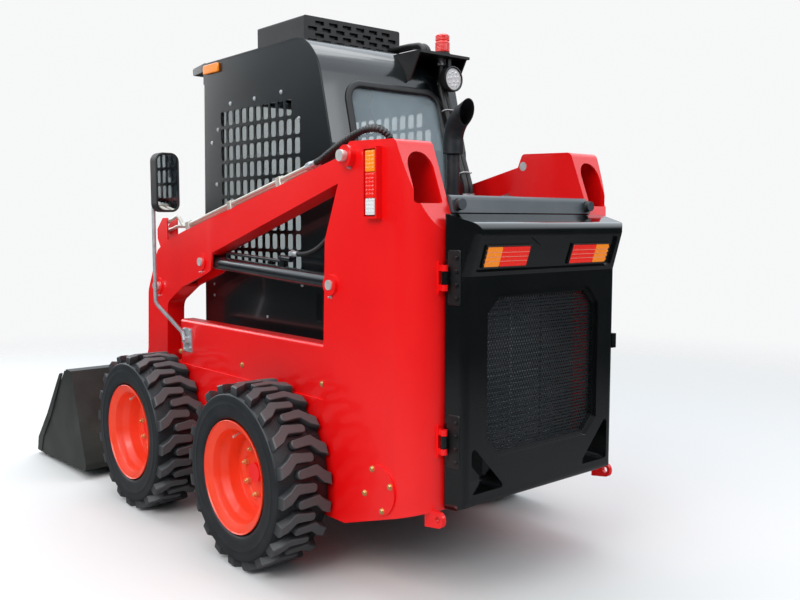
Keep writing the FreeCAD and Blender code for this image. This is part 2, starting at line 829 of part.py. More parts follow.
def make_cab_sides():
    """Side plates with a grid of windows, one face with all its hole outlines."""
    face = cab_inner_face(cab_plate + fit_gap)
    left, right, low, high = 100.0, 812.0, 1222.0, 1992.0
    pitch_x = (right - left) / grid_columns
    pitch_z = (high - low) / grid_rows
    bar = grid_bar
    wires = [face.OuterWire]
    for i in range(grid_columns):
        for j in range(grid_rows):
            x0 = left + pitch_x * i + bar / 2.0
            z0 = low + pitch_z * j + bar / 2.0
            x1 = x0 + pitch_x - bar
            z1 = z0 + pitch_z - bar
            if x0 - cab_rear_edge(z1) < 190.0:
                continue
            hole = [Vector(x0, 0, z0), Vector(x1, 0, z0), Vector(x1, 0, z1), Vector(x0, 0, z1)]
            wires.append(Part.makePolygon(hole + [hole[0]]))
    for i in range(3):
        x0 = -45.0 + 14.0 * i
        slot = [Vector(x0, 0, 1007.0), Vector(x0 + 6.0, 0, 1007.0), Vector(x0 + 6.0, 0, 1133.0), Vector(x0, 0, 1133.0)]
        wires.append(Part.makePolygon(slot + [slot[0]]))
    face = Part.makeFace(wires, "Part::FaceMakerBullseye")
    face.translate(Vector(0, cab_half_width - cab_plate, 0))
    plate = face.extrude(Vector(0, cab_plate, 0))
    pieces["cab_sides"] = both_sides(plate)


def make_cab_shell():
    """Roof with visor and the rear wall with its window, one bent sheet split at the rear edge."""
    face = side_face(cab_table())
    band = face.cut(face.makeOffset2D(-cab_plate))
    band.translate(Vector(0, -cab_half_width, 0))
    band = band.extrude(Vector(0, 2.0 * cab_half_width, 0))
    seam = 2140.0
    roof = band.common(box(-100.0, 990.0, -500.0, 500.0, seam, 2300.0))
    visor = side_plate([
        (972.0, 2206.0, 0),
        (1086.0, 2196.0, 8),
        (1090.0, 2232.0, 12),
        (958.0, 2247.0, 0),
        (950.0, 2240.0, 0),
    ], -cab_half_width, cab_half_width)
    pieces["cab_roof"] = [fused([roof, visor])]
    rear = band.common(box(-400.0, 40.0, -500.0, 500.0, cab_bottom + cab_plate + fit_gap, seam - fit_gap))
    half = rear_window_half
    window = rear_plate([
        (-half, 1560.0, 80),
        (half, 1560.0, 80),
        (half, 2043.0, 80),
        (-half, 2043.0, 80),
    ], -300.0, 200.0)
    pieces["cab_rear_wall"] = [rear.cut(window)]


def make_cab_floor():
    """Stepped floor: footwell ahead, seat deck behind."""
    half = cab_half_width - cab_plate - fit_gap
    sheet = 6.0
    floor = side_plate([
        (case_front - tub_sheet - fit_gap, 430.0, 0),
        (620.0, 430.0, 20),
        (580.0, cab_bottom + 32.0, 20),
        (-50.0, cab_bottom + 32.0, 0),
        (-50.0, cab_bottom + 32.0 + sheet, 0),
        (584.0, cab_bottom + 32.0 + sheet, 26),
        (624.0, 430.0 + sheet, 14),
        (case_front - tub_sheet - fit_gap, 430.0 + sheet, 0),
    ], -half, half)
    pieces["cab_floor"] = [floor]


def make_cab_front():
    """Front frame round the door: posts, header and sill."""
    half = cab_half_width - cab_plate - fit_gap
    outline = [
        (-half, cab_bottom, 0),
        (half, cab_bottom, 0),
        (half, 2190.0, 0),
        (-half, 2190.0, 0),
    ]
    opening = [
        (-door_half_width - 6.0, 766.0, 20),
        (door_half_width + 6.0, 766.0, 20),
        (door_half_width + 6.0, 2112.0, 20),
        (-door_half_width - 6.0, 2112.0, 20),
    ]
    frame = rear_plate(outline, 800.0, 1100.0).cut(rear_plate(opening, 700.0, 1200.0))
    depth = 36.0
    face_x = cab_front - cab_plate
    slant = side_plate([
        (face_x - 1.0, cab_bottom + cab_plate + fit_gap, 0),
        (face_x - 37.0, 2190.0, 0),
        (face_x - 37.0 - depth, 2190.0, 0),
        (face_x - depth, cab_bottom + cab_plate + fit_gap, 0),
    ], -500.0, 500.0)
    knuckles = []
    for z in door_hinge_heights:
        for end in (-1, 1):
            middle = z + end * 30.0
            knuckles.append(rod_z(door_hinge_x, door_hinge_y, 9.0, middle - 9.0, middle + 9.0))
            knuckles.append(box(960.0, door_hinge_x, door_hinge_y, door_hinge_y + 9.0, middle - 9.0, middle + 9.0))
        knuckles.append(rod_z(door_hinge_x, door_hinge_y, 4.0, z - 39.0, z + 39.0))
    pieces["cab_front_frame"] = [fused([frame.common(slant)] + knuckles)]


# Exterior fittings of the cab

def make_ac_unit():
    body = rear_plate([
        (-286.0, 2250.0, 0),
        (286.0, 2250.0, 0),
        (286.0, 2378.0, 10),
        (-286.0, 2378.0, 10),
    ], 228.0, 624.0)
    slots = []
    pitch, row_pitch = 79.0, 28.0
    for row in range(4):
        z = 2258.0 + row_pitch * row
        odd = row % 2
        for i in range(7 - odd):
            y = pitch * (i - 3.0 + 0.5 * odd)
            slots.append(box(220.0, 244.0, y - 25.0, y + 25.0, z, z + 18.0))
    body = body.cut(Part.makeCompound(slots))
    pieces["ac_unit"] = [body]


def make_beacon():
    x, y = -87.0, -282.0
    base = rod_z(x, y, 36.0, 2216.0 + fit_gap, 2236.0)
    dome = rod_z(x, y, 33.0, 2235.0, 2320.0)
    dome = dome.makeFillet(14.0, [dome.Edges[0]])
    pieces["beacon"] = [fused([base, dome])]


def make_work_lamp():
    """Round lamp under a tray on the cab's rear bend; the tray also carries the beacon."""
    low, high = 2204.0, 2216.0
    tray = box(-150.0, 90.0, -400.0, -90.0, low, high)
    y, z = -293.0, 2104.0
    can = rod_x(y, z, 46.0, -128.0, -104.0)
    bezel = rod_x(y, z, 58.0, -150.0, -127.0)
    yoke = box(-126.0, -108.0, y - 9.0, y + 9.0, z + 40.0, low + 1.0)
    gusset = [
        (-140.0, low + 1.0, 0),
        (-72.0, 2086.0, 0),
        (40.0, 2086.0, 0),
        (90.0, low + 1.0, 0),
    ]
    ribs = [side_plate(gusset, side_y, side_y + 8.0) for side_y in (-98.0, -392.0)]
    wall = side_face(cab_table())
    wall.translate(Vector(0, -500.0, 0))
    wall = wall.extrude(Vector(0, 1000.0, 0))
    clearance = wall.copy()
    clearance.translate(Vector(-fit_gap, 0, fit_gap))
    bracket = fused([tray, can, bezel, yoke] + ribs)
    pieces["work_lamp"] = [bracket.cut(wall).cut(clearance)]


def make_exhaust():
    """Stack with a wider hollow elbow that points back and is cut off steeply at its mouth."""
    base = 1728.0
    mouth_x, mouth_z = exhaust_mouth
    low = rod_z(exhaust_x, exhaust_y, 28.0, engine_top + fit_gap, base + 8.0)
    cap = rod_z(exhaust_x, exhaust_y, 42.0, base, base + 10.0)
    ahead = Vector(mouth_x - exhaust_x, 0, 38.0).normalize()
    beyond = Vector(mouth_x, exhaust_y, mouth_z) + ahead * 70.0
    path = [
        Vector(exhaust_x, exhaust_y, base),
        Vector(exhaust_x, exhaust_y, mouth_z - 38.0),
        beyond,
    ]
    bend = pipe(path, [0, exhaust_bend, 0], 43.0).cut(pipe(path, [0, exhaust_bend, 0], 39.0))
    past = Part.makeBox(200.0, 200.0, 300.0, Vector(mouth_x - 200.0, exhaust_y - 100.0, mouth_z - 150.0))
    past.rotate(Vector(mouth_x, exhaust_y, mouth_z), Vector(0, 1, 0), -13.0)
    pieces["exhaust_pipe"] = [fused([bend.cut(past), cap, low])]


def make_mirrors():
    """Mounting plates with bent arms, and the mirror heads."""
    arm = pipe([
        Vector(850.0, 597.0, 852.0),
        Vector(862.0, 600.0, 890.0),
        Vector(930.0, 706.0, 1040.0),
        Vector(930.0, 706.0, 1640.0),
    ], [0, 30, 60, 0], 9.5)
    plate = box(812.0, 900.0, hull_half_width - 6.0 + fit_gap, hull_half_width, 792.0, 910.0)
    clamp = box(836.0, 872.0, hull_half_width - 1.0, hull_half_width + 20.0, 838.0, 866.0)
    pieces["mirror_arms"] = both_sides(fused([plate, clamp, arm]))
    head = rear_plate([
        (599.0, 1488.0, 42),
        (722.0, 1488.0, 42),
        (722.0, 1776.0, 42),
        (599.0, 1776.0, 42),
    ], 862.0, 920.0 - fit_gap)
    pieces["mirrors"] = both_sides(head)


# Loader arms

def arm_table():
    """Side outline of a loader arm, left side; columns: x, z, corner radius."""
    return [
        (-545.0, 1722.0, 45),
        (901.4, 1394.2, 300),
        (1108.5, 1341.4, 80),
        (1206.1, 1290.6, 45),
        (1327.7, 1073.4, 90),
        (1347.0, 745.0, 60),
        (bucket_pivot_x + 50.0, bucket_pivot_z + 44.0, 0),
        (bucket_pivot_x - 44.0, bucket_pivot_z - 40.0, 0),
        (1116.0, 745.0, 70),
        (1100.0, 1024.0, 60),
        (922.0, 1116.3, 200),
        (679.2, 1189.0, 30),
        (632.3, 1209.9, 16),
        (617.4, 1292.6, 16),
        (-393.6, 1588.4, 0),
        (-545.0, 1632.0, 40),
    ]


def make_arms():
    table = arm_table()
    face = side_face(table)
    solid = side_plate(table, arm_inner, arm_outer)
    hollow = face.makeOffset2D(-arm_plate)
    hollow.translate(Vector(0, arm_inner + arm_plate, 0))
    hollow = hollow.extrude(Vector(0, arm_width - 2.0 * arm_plate, 0))
    knee = side_plate([
        (600.0, 1285.0, 0),
        (600.0, 1140.0, 0),
        (925.0, 1060.0, 0),
        (925.0, 1134.0, 0),
        (690.0, 1214.0, 0),
        (650.0, 1240.0, 0),
        (640.0, 1285.0, 0),
    ], arm_inner + arm_plate, arm_outer - arm_plate)
    barrel_way = side_plate([
        (600.0, 1285.0, 0),
        (600.0, 1190.0, 0),
        (676.0, 1190.0, 0),
        (676.0, 1285.0, 0),
    ], arm_inner + arm_plate - 2.0, arm_outer - arm_plate + 2.0)
    arm = solid.cut(hollow).cut(knee).cut(barrel_way)
    bosses = [
        rod_y(boom_pivot_x, boom_pivot_z, boss_radius, arm_inner, arm_outer),
        rod_y(bucket_pivot_x, bucket_pivot_z, coupler_boss_radius, arm_inner, arm_outer),
        rod_y(tilt_base_x, tilt_base_z, boss_radius, arm_inner, arm_outer + 8.0),
        rod_y(lift_eye_x, lift_eye_z, boss_radius, arm_outer - arm_plate, arm_outer + 8.0),
        rod_y(lift_eye_x, lift_eye_z, boss_radius, arm_inner - 8.0, arm_inner + arm_plate),
    ]
    arm = fused([arm] + bosses)
    bores = (
        (boom_pivot_x, boom_pivot_z, pin_radius + pin_gap),
        (bucket_pivot_x, bucket_pivot_z, pin_radius + pin_gap),
        (tilt_base_x, tilt_base_z, pin_radius + fit_gap),
        (lift_eye_x, lift_eye_z, pin_radius + fit_gap),
    )
    for x, z, radius in bores:
        arm = arm.cut(rod_y(x, z, radius, arm_inner - 20.0, arm_outer + 20.0))
    pieces["boom_arms"] = both_sides(arm)


def make_arm_pins():
    """Short pin ends at the lift eyes and the tilt cylinders' base pins."""
    outer = rod_y(lift_eye_x, lift_eye_z, pin_radius, arm_outer - arm_plate, arm_outer + 16.0)
    inner = rod_y(lift_eye_x, lift_eye_z, pin_radius, arm_inner - 16.0, arm_inner + arm_plate)
    base = rod_y(tilt_base_x, tilt_base_z, pin_radius, tilt_half_track - eye_width / 2.0 - 12.0, arm_outer + 30.0)
    washer = rod_y(tilt_base_x, tilt_base_z, pin_radius + 10.0, tilt_half_track - eye_width / 2.0 - 14.0,
                   tilt_half_track - eye_width / 2.0 - 4.0)
    pieces["arm_pins"] = both_sides(outer) + both_sides(inner) + both_sides(fused([base, washer]))


def make_crossmember():
    half = arm_inner - fit_gap
    size = crossmember_size / 2.0
    tube = side_plate([
        (crossmember_x - size, crossmember_z - size, 16),
        (crossmember_x + size, crossmember_z - size, 16),
        (crossmember_x + size, crossmember_z + size, 16),
        (crossmember_x - size, crossmember_z + size, 16),
    ], -half, half)
    pieces["boom_crossmember"] = [tube]


def along_arm(x):
    """Height of the arm's top edge at x."""
    share = (x + 545.0) / (901.4 + 545.0)
    return 1722.0 + share * (1394.2 - 1722.0)


def make_boom_pipes():
    """Two steel pipes along the left arm with clamps, and the coupler bracket at the front."""
    radius = 8.0
    solids = []
    for y, stub_x, stub_z in ((arm_middle - 17.0, 1159.0, 1442.0), (arm_middle + 17.0, 1221.0, 1393.0)):
        points = [
            Vector(stub_x, y, stub_z),
            Vector(stub_x - 138.0, y, stub_z + 20.0),
            Vector(955.0, y, along_arm(955.0) + pipe_lift),
            Vector(-130.0, y, along_arm(-130.0) + pipe_lift),
        ]
        solids.append(pipe(points, [0, 24, 30, 0], radius))
    for x in (60.0, 480.0, 900.0):
        z = along_arm(x)
        solids.append(box(x - 16.0, x + 16.0, arm_middle - 30.0, arm_middle + 30.0, z + 3.0, z + pipe_lift + 11.0))
    plate = side_plate([
        (1120.0, 1330.0, 0),
        (1200.0, 1300.0, 0),
        (1236.0, 1352.0, 14),
        (1236.0, 1404.0, 14),
        (1170.0, 1462.0, 14),
        (1120.0, 1462.0, 14),
    ], arm_middle - 32.0, arm_middle + 32.0)
    group = fused(solids + [plate])
    group = group.cut(side_plate(arm_table(), arm_inner - 5.0, arm_outer + 5.0))
    pieces["boom_pipes"] = [group]


# Cylinders

def cylinder_axis(angle):
    return Vector(math.cos(math.radians(angle)), 0, math.sin(math.radians(angle)))


def barrel(x, z, angle, y, radius, length, rod_radius, eye_radius, gland_radius):
    """Hollow barrel with a base eye and a gland round its rod."""
    axis = cylinder_axis(angle)
    base = Vector(x, y, z)
    tube = Part.makeCylinder(radius, length - 60.0, base + axis * 40.0, axis)
    gland = Part.makeCylinder(gland_radius, 34.0, base + axis * (length - 34.0), axis)
    eye = rod_y(x, z, eye_radius, y - eye_width / 2.0, y + eye_width / 2.0)
    neck = Part.makeCylinder(min(radius, eye_width / 2.0) - 2.0, 60.0, base, axis)
    whole = fused([tube, gland, eye, neck])
    bore = Part.makeCylinder(radius - barrel_wall, length - 130.0, base + axis * 90.0, axis)
    way = Part.makeCylinder(rod_radius + fit_gap, 200.0, base + axis * (length - 160.0), axis)
    hole = rod_y(x, z, pin_radius + pin_gap, y - eye_width, y + eye_width)
    return whole.cut(bore).cut(way).cut(hole)


def rod(x, z, angle, y, eye_distance, rod_radius, length, eye_radius):
    """Piston rod with an eye at its end and a piston at its inner end."""
    axis = cylinder_axis(angle)
    end = Vector(x, y, z) + axis * eye_distance
    shaft = Part.makeCylinder(rod_radius, length, end - axis * length, axis)
    eye = rod_y(end.x, end.z, eye_radius, y - eye_width / 2.0, y + eye_width / 2.0)
    hole = rod_y(end.x, end.z, pin_radius + 1.0, y - eye_width, y + eye_width)
    return fused([shaft, eye]).cut(hole)


def make_cylinders():
    link = linkage()
    angle = link["lift_angle"]
    lift = barrel(lift_base_x, lift_base_z, angle, arm_middle, lift_barrel_radius, lift_barrel_length,
                  lift_rod_radius, 38.0, lift_barrel_radius - 1.5)
    axis = cylinder_axis(angle)
    up = Vector(-axis.z, 0, axis.x)
    base = Vector(lift_base_x, arm_middle, lift_base_z)
    feed_start, feed_end, feed_rise = 450.0, 930.0, 54.0
    port = Part.makeCylinder(13.0, feed_rise + 22.0, base + axis * feed_start, up)
    feed = Part.makeCylinder(8.0, feed_end - feed_start, base + axis * feed_start + up * feed_rise, axis)
    end_port = Part.makeCylinder(11.0, feed_rise, base + axis * (feed_end - 12.0), up)
    union = Part.makeCylinder(13.0, 82.0, base + axis * (feed_start - 70.0) + up * (feed_rise + 14.0), axis)
    lift = fused([lift, port, feed, end_port, union])
    bore = Part.makeCylinder(lift_barrel_radius - barrel_wall, lift_barrel_length - 130.0, base + axis * 90.0, axis)
    way = Part.makeCylinder(lift_rod_radius + fit_gap, 200.0, base + axis * (lift_barrel_length - 160.0), axis)
    lift = lift.cut(bore).cut(way)
    pieces["lift_barrels"] = both_sides(lift)
    length = link["lift_length"] + link["lift_stroke"] - lift_barrel_length + 70.0
    pieces["lift_rods"] = both_sides(rod(lift_base_x, lift_base_z, angle, arm_middle, link["lift_length"],
                                         lift_rod_radius, length, 34.0))
    angle = link["tilt_angle"]
    tilt = barrel(tilt_base_x, tilt_base_z, angle, tilt_half_track, tilt_barrel_radius, tilt_barrel_length,
                  tilt_rod_radius, 34.0, tilt_barrel_radius + 4.0)
    pieces["tilt_barrels"] = both_sides(tilt)
    stroke = link["tilt_slide_ratio"] * math.radians(bucket_dump)
    length = link["tilt_length"] + stroke - tilt_barrel_length + 60.0
    pieces["tilt_rods"] = both_sides(rod(tilt_base_x, tilt_base_z, angle, tilt_half_track, link["tilt_length"],
                                         tilt_rod_radius, length, 28.0))


# Bucket and coupling frame

def back_line():
    """Unit vector up the bucket's back, and the forward normal."""
    dx = bucket_top_x - bucket_heel_x
    dz = bucket_top_z - bucket_heel_z
    length = math.hypot(dx, dz)
    return (dx / length, dz / length), (dz / length, -dx / length), length


def back_point(up, ahead):
    """Point in the side view, up along the bucket's back from its heel and ahead of it."""
    (ux, uz), (nx, nz), length = back_line()
    return bucket_heel_x + ux * up + nx * ahead, bucket_heel_z + uz * up + nz * ahead


def make_coupling():
    (ux, uz), (nx, nz), length = back_line()
    rise = (bucket_pivot_x - bucket_heel_x) * ux + (bucket_pivot_z - bucket_heel_z) * uz
    near = -coupler_plate - fit_gap

    def quad(up0, up1, ahead0, ahead1, y0, y1):
        corners = [back_point(up0, ahead0), back_point(up1, ahead0), back_point(up1, ahead1), back_point(up0, ahead1)]
        return side_plate([(x, z, 0) for x, z in corners], y0, y1)

    low, high = rise - 130.0, rise + 240.0
    frame = quad(low, high, near, -fit_gap, -arm_outer - 17.0, arm_outer + 17.0)
    middle = quad(rise - 60.0, high + 1.0, near - 5.0, 5.0, -tilt_half_track + 60.0, tilt_half_track - 60.0)
    frame = frame.cut(middle)
    parts = [frame]
    eye_x, eye_z = linkage()["tilt_eye"]
    gap = eye_width / 2.0 + moving_gap
    for side in (1, -1):
        slot = quad(rise + 60.0, high + 1.0, near - 5.0, 5.0, tilt_half_track - gap, tilt_half_track + gap)
        if side < 0:
            slot = mirrored(slot)
        parts[0] = parts[0].cut(slot)
    for y0, y1, tall in (
        (arm_outer + 4.5, arm_outer + 16.5, False),
        (tilt_half_track + gap, arm_inner - 4.5, True),
        (tilt_half_track - gap - 12.0, tilt_half_track - gap, True),
    ):
        foot_low = back_point(rise - 90.0, near + 1.0)
        foot_high = back_point(rise + (225.0 if tall else 90.0), near + 1.0)
        if tall:
            table = [
                (foot_low[0], foot_low[1], 0),
                (bucket_pivot_x - 34.0, bucket_pivot_z - 34.0, 20),
                (eye_x - 34.0, eye_z + 10.0, 20),
                (eye_x + 6.0, eye_z + 40.0, 20),
                (foot_high[0], foot_high[1], 0),
            ]
        else:
            table = [
                (foot_low[0], foot_low[1], 0),
                (bucket_pivot_x - 46.0, bucket_pivot_z - 20.0, 20),
                (bucket_pivot_x - 30.0, bucket_pivot_z + 42.0, 20),
                (foot_high[0], foot_high[1], 0),
            ]
        ear = side_plate(table, y0, y1)
        parts += both_sides(ear)
    coupling = fused(parts)
    hole = rod_y(eye_x, eye_z, pin_radius + fit_gap, -600.0, 600.0)
    pivot_pin = rod_y(bucket_pivot_x, bucket_pivot_z, pin_radius, tilt_half_track + gap, arm_outer + 20.0)
    pieces["coupling_frame"] = [fused([coupling.cut(hole)] + both_sides(pivot_pin))]


def make_bucket():
    half = bucket_half_width
    plate = bucket_plate
    (ux, uz), (nx, nz), length = back_line()
    # Back, rounded heel and floor as one bent plate
    shell = side_plate([
        (bucket_top_x, bucket_top_z, 0),
        (bucket_heel_x, bucket_heel_z, 36),
        (bucket_lip_x - 150.0, bucket_lip_z + 4.0, 0),
        (bucket_lip_x - 150.0, bucket_lip_z + 4.0 + plate, 0),
        (bucket_heel_x + 14.0, bucket_heel_z + plate, 28),
        (bucket_top_x + nx * plate, bucket_top_z + nz * plate, 0),
    ], -half, half)
    top_flange = side_plate([
        (bucket_top_x, bucket_top_z, 0),
        (bucket_top_x + 76.0, bucket_top_z + 2.0, 0),
        (bucket_top_x + 76.0, bucket_top_z - 8.0, 0),
        (bucket_top_x - 3.0, bucket_top_z - 10.0, 0),
    ], -half, half)
    edge = side_plate([
        (bucket_lip_x, bucket_lip_z, 0),
        (bucket_lip_x - 8.0, bucket_lip_z + 3.0, 0),
        (bucket_lip_x - 34.0, bucket_lip_z + 18.0, 0),
        (bucket_lip_x - 190.0, bucket_lip_z + 22.0, 0),
        (bucket_lip_x - 190.0, bucket_lip_z + 2.0, 0),
    ], -half, half)
    side_outline = [
        (bucket_heel_x + 6.0, bucket_heel_z + 1.0, 30),
        (bucket_top_x, bucket_top_z, 0),
        (bucket_top_x + 98.0, bucket_top_z - 8.0, 8),
        (2165.0, 305.0, 0),
        (2345.0, 122.0, 0),
        (bucket_lip_x - 40.0, bucket_lip_z + 6.0, 0),
    ]
    cheek = side_plate(side_outline, half - 10.0, half)
    # Bolted side cutter along the cheek's slanted front edge
    cutter = side_plate([
        (bucket_top_x + 120.0, bucket_top_z - 20.0, 6),
        (bucket_top_x + 166.0, bucket_top_z - 36.0, 6),
        (2206.0, 286.0, 10),
        (2377.0, 112.0, 0),
        (bucket_lip_x - 18.0, bucket_lip_z + 8.0, 0),
        (bucket_lip_x - 80.0, bucket_lip_z + 8.0, 0),
        (2298.0, 120.0, 0),
        (2140.0, 288.0, 10),
    ], half - 1.0, half + 8.0)
    pieces["bucket"] = [fused([shell, top_flange, edge] + both_sides(cheek) + both_sides(cutter))]


# Inside the cab

def make_seat():
    deck = cab_bottom + 38.0
    cushion = side_plate([
        (120.0, deck + fit_gap, 20),
        (560.0, deck + fit_gap, 30),
        (570.0, deck + 150.0, 40),
        (200.0, deck + 130.0, 30),
        (90.0, deck + 760.0, 60),
        (-20.0, deck + 750.0, 50),
        (60.0, deck + 120.0, 40),
    ], -seat_half_width, seat_half_width)
    pieces["seat"] = [cushion]


def make_controls():
    """Side consoles with one lever each."""
    deck = cab_bottom + 38.0
    console = box(250.0, 570.0, 262.0, 340.0, deck + fit_gap, deck + 210.0)
    lever = pipe([
        Vector(530.0, 300.0, deck + 205.0),
        Vector(545.0, 300.0, deck + 300.0),
        Vector(530.0, 290.0, deck + 400.0),
    ], [0, 60, 0], 9.0)
    grip = Part.makeCylinder(20.0, 110.0, Vector(533.0, 292.0, deck + 370.0), Vector(-0.1, -0.05, 1))
    pieces["controls"] = both_sides(fused([console, lever, grip]))


def make_cab_door():
    """Front door: frame with hinge knuckles on its left edge, pane behind a lip."""
    half = door_half_width
    low, high = 772.0, 2106.0
    lean = (cab_front - 975.0) / (2205.0 - cab_bottom)

    def front_at(z):
        return cab_front - lean * (z - cab_bottom)

    slab = side_plate([
        (front_at(low) - 10.0, low, 0),
        (front_at(high) - 10.0, high, 0),
        (front_at(high) - 34.0, high, 0),
        (front_at(low) - 34.0, low, 0),
    ], -half, half)
    outline = rear_plate([(-half, low, 16), (half, low, 16), (half, high, 16), (-half, high, 16)], 800.0, 1100.0)
    hole = rear_plate([
        (-half + 42.0, low + 50.0, 30),
        (half - 42.0, low + 50.0, 30),
        (half - 42.0, high - 50.0, 30),
        (-half + 42.0, high - 50.0, 30),
    ], 800.0, 1100.0)
    frame = slab.common(outline).cut(hole)
    handle = pipe([
        Vector(front_at(1350.0) - 14.0, -half + 20.0, 1290.0),
        Vector(front_at(1350.0) + 24.0, -half + 20.0, 1290.0),
        Vector(front_at(1350.0) + 24.0, -half + 20.0, 1410.0),
        Vector(front_at(1350.0) - 14.0, -half + 20.0, 1410.0),
    ], [0, 12, 12, 0], 6.0)
    leaves = []
    for z in door_hinge_heights:
        leaves.append(rod_z(door_hinge_x, door_hinge_y, 9.0, z - 20.0, z + 20.0))
        leaves.append(box(front_at(z) - 12.0, door_hinge_x, half - 14.0, half - 2.0, z - 20.0, z + 20.0))
        leaves.append(box(door_hinge_x - 8.0, door_hinge_x + 2.0, half - 14.0, door_hinge_y, z - 20.0, z + 20.0))
    door = fused([frame, handle] + leaves)
    for z in door_hinge_heights:
        door = door.cut(rod_z(door_hinge_x, door_hinge_y, 4.0 + pin_gap, z - 60.0, z + 60.0))
    pieces["cab_door"] = [door]
    pane_low, pane_high = low + 20.0, high - 20.0
    back = 34.0 + fit_gap
    pane = side_plate([
        (front_at(pane_low) - back - 5.0, pane_low, 0),
        (front_at(pane_high) - back - 5.0, pane_high, 0),
        (front_at(pane_high) - back, pane_high, 0),
        (front_at(pane_low) - back, pane_low, 0),
    ], -half + 20.0, half - 20.0)
    pieces["cab_door_glass"] = [pane]


def make_rear_glass():
    """Rear pane set on the inside of the rear wall."""
    inset = cab_plate + fit_gap
    face = side_face(cab_table())
    band = face.makeOffset2D(-inset).cut(face.makeOffset2D(-inset - 5.0))
    half = rear_window_half + 25.0
    band.translate(Vector(0, -half, 0))
    band = band.extrude(Vector(0, 2.0 * half, 0))
    pieces["rear_glass"] = [band.common(box(-300.0, 60.0, -half, half, 1530.0, 2060.0))]


def make_climate_hoses():
    """Hoses from the deck up to the lamp tray, and from the tray over the roof to the cooling unit."""
    radius = 13.0
    solids = []
    for y in (-275.0, -304.0):
        points = [
            Vector(-232.0, y - 26.0, hood_top + fit_gap),
            Vector(-232.0, y - 26.0, 1600.0),
            Vector(-160.0, y - 26.0, 1790.0),
            Vector(-84.0, y, 2060.0),
            Vector(-84.0, y, 2204.0 - fit_gap),
        ]
        solids.append(pipe(points, [0, 150, 300, 200, 0], radius))
    for y in (-228.0, -258.0):
        points = [
            Vector(-18.0, y, 2216.0 + fit_gap),
            Vector(-18.0, y, 2272.0),
            Vector(90.0, y, 2280.0),
            Vector(228.0 - fit_gap, y, 2280.0),
        ]
        solids.append(pipe(points, [0, 46, 60, 0], radius))
    pieces["climate_hoses"] = solids


def make_boom_hoses():
    """Hoses of the left arm: one part rides the arm, the other arches over the tower to the deck."""
    riding, fixed = [], []
    outer_y = arm_inner - moving_gap - boom_hose_radius - 2.0
    for i in range(2):
        y = arm_middle + 17.0 - 34.0 * i
        side_y = outer_y - 27.0 * i
        bend_x = -215.0 + 14.0 * i
        end_x, end_z = hose_end
        riding.append(pipe([
            Vector(-130.0 - fit_gap, y, along_arm(-130.0) + pipe_lift),
            Vector(bend_x, y, along_arm(bend_x) + pipe_lift),
            Vector(bend_x - 66.0, side_y, end_z - 10.0),
            Vector(end_x, side_y, end_z),
        ], [0, 40, 8, 0], boom_hose_radius))
        start_x, start_z = hose_start
        down_x = -505.0 + 27.0 * i
        down_y = case_inner_half - boom_hose_radius - 5.0 - 27.0 * i
        fixed.append(pipe([
            Vector(start_x, side_y, start_z),
            Vector(-425.0, side_y, start_z + 36.0),
            Vector(down_x, side_y - 16.0, start_z + 36.0),
            Vector(down_x, down_y, start_z - 20.0),
            Vector(down_x + 10.0, down_y, 1600.0),
            Vector(down_x + 10.0, down_y, hood_top + fit_gap),
        ], [0, 50, 28, 28, 60, 0], boom_hose_radius))
    pieces["boom_hoses"] = riding
    pieces["tower_hoses"] = fixed


def write_pieces():
    os.makedirs("parts", exist_ok=True)
    for name, solids in pieces.items():
        shape = solids[0] if len(solids) == 1 else Part.makeCompound(solids)
        shape = shape.copy()
        shape.translate(Vector(frame_shift, 0, 0))
        shape.exportStep("parts/" + name + ".step")


def main():
    make_wheels()
    make_towers()
    make_tower_pins()
    make_chain_cases()
    make_tub()
    make_engine()
    make_deck()
    make_hood()
    make_rear_door()
    make_door_grille()
    make_tail_lamps()
    make_marker_lamps()
    make_cab_sides()
    make_cab_shell()
    make_cab_floor()
    make_cab_front()
    make_cab_door()
    make_rear_glass()
    make_seat()
    make_controls()
    make_ac_unit()
    make_beacon()
    make_work_lamp()
    make_exhaust()
    make_climate_hoses()
    make_mirrors()
    make_arms()
    make_arm_pins()
    make_crossmember()
    make_boom_pipes()
    make_boom_hoses()
    make_cylinders()
    make_coupling()
    make_bucket()
    write_pieces()


main()
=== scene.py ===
import math
import bpy
import numpy as np
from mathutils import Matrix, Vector


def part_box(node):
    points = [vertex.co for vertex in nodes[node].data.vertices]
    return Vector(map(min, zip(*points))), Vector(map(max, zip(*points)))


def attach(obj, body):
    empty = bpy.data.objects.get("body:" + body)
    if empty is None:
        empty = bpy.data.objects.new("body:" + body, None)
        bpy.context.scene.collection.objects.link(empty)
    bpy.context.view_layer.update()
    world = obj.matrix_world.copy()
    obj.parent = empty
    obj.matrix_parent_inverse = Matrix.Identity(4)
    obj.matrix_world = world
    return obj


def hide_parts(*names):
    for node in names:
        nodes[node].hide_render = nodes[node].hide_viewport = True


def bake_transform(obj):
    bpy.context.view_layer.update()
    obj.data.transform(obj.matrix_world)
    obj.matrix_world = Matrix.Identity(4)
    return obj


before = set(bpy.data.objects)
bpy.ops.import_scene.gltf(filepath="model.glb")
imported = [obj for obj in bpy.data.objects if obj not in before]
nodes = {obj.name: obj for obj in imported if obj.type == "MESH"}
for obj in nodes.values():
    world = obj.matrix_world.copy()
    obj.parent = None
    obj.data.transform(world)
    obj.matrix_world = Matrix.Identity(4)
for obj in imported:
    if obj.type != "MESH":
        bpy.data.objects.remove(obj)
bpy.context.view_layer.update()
scene = bpy.context.scene
scene.view_settings.view_transform = "Standard"
pi = math.pi

# All piece coordinates below are metres from the rear axle's middle on the ground, x forward, y left, z up.
# axleX moves them into the model's frame.
rimLow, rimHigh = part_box("rim_rear_left")
axleX = (rimLow.x + rimHigh.x) / 2.0
print("frame loaded, rear axle at", round(axleX, 4))


# Shapes as arrays

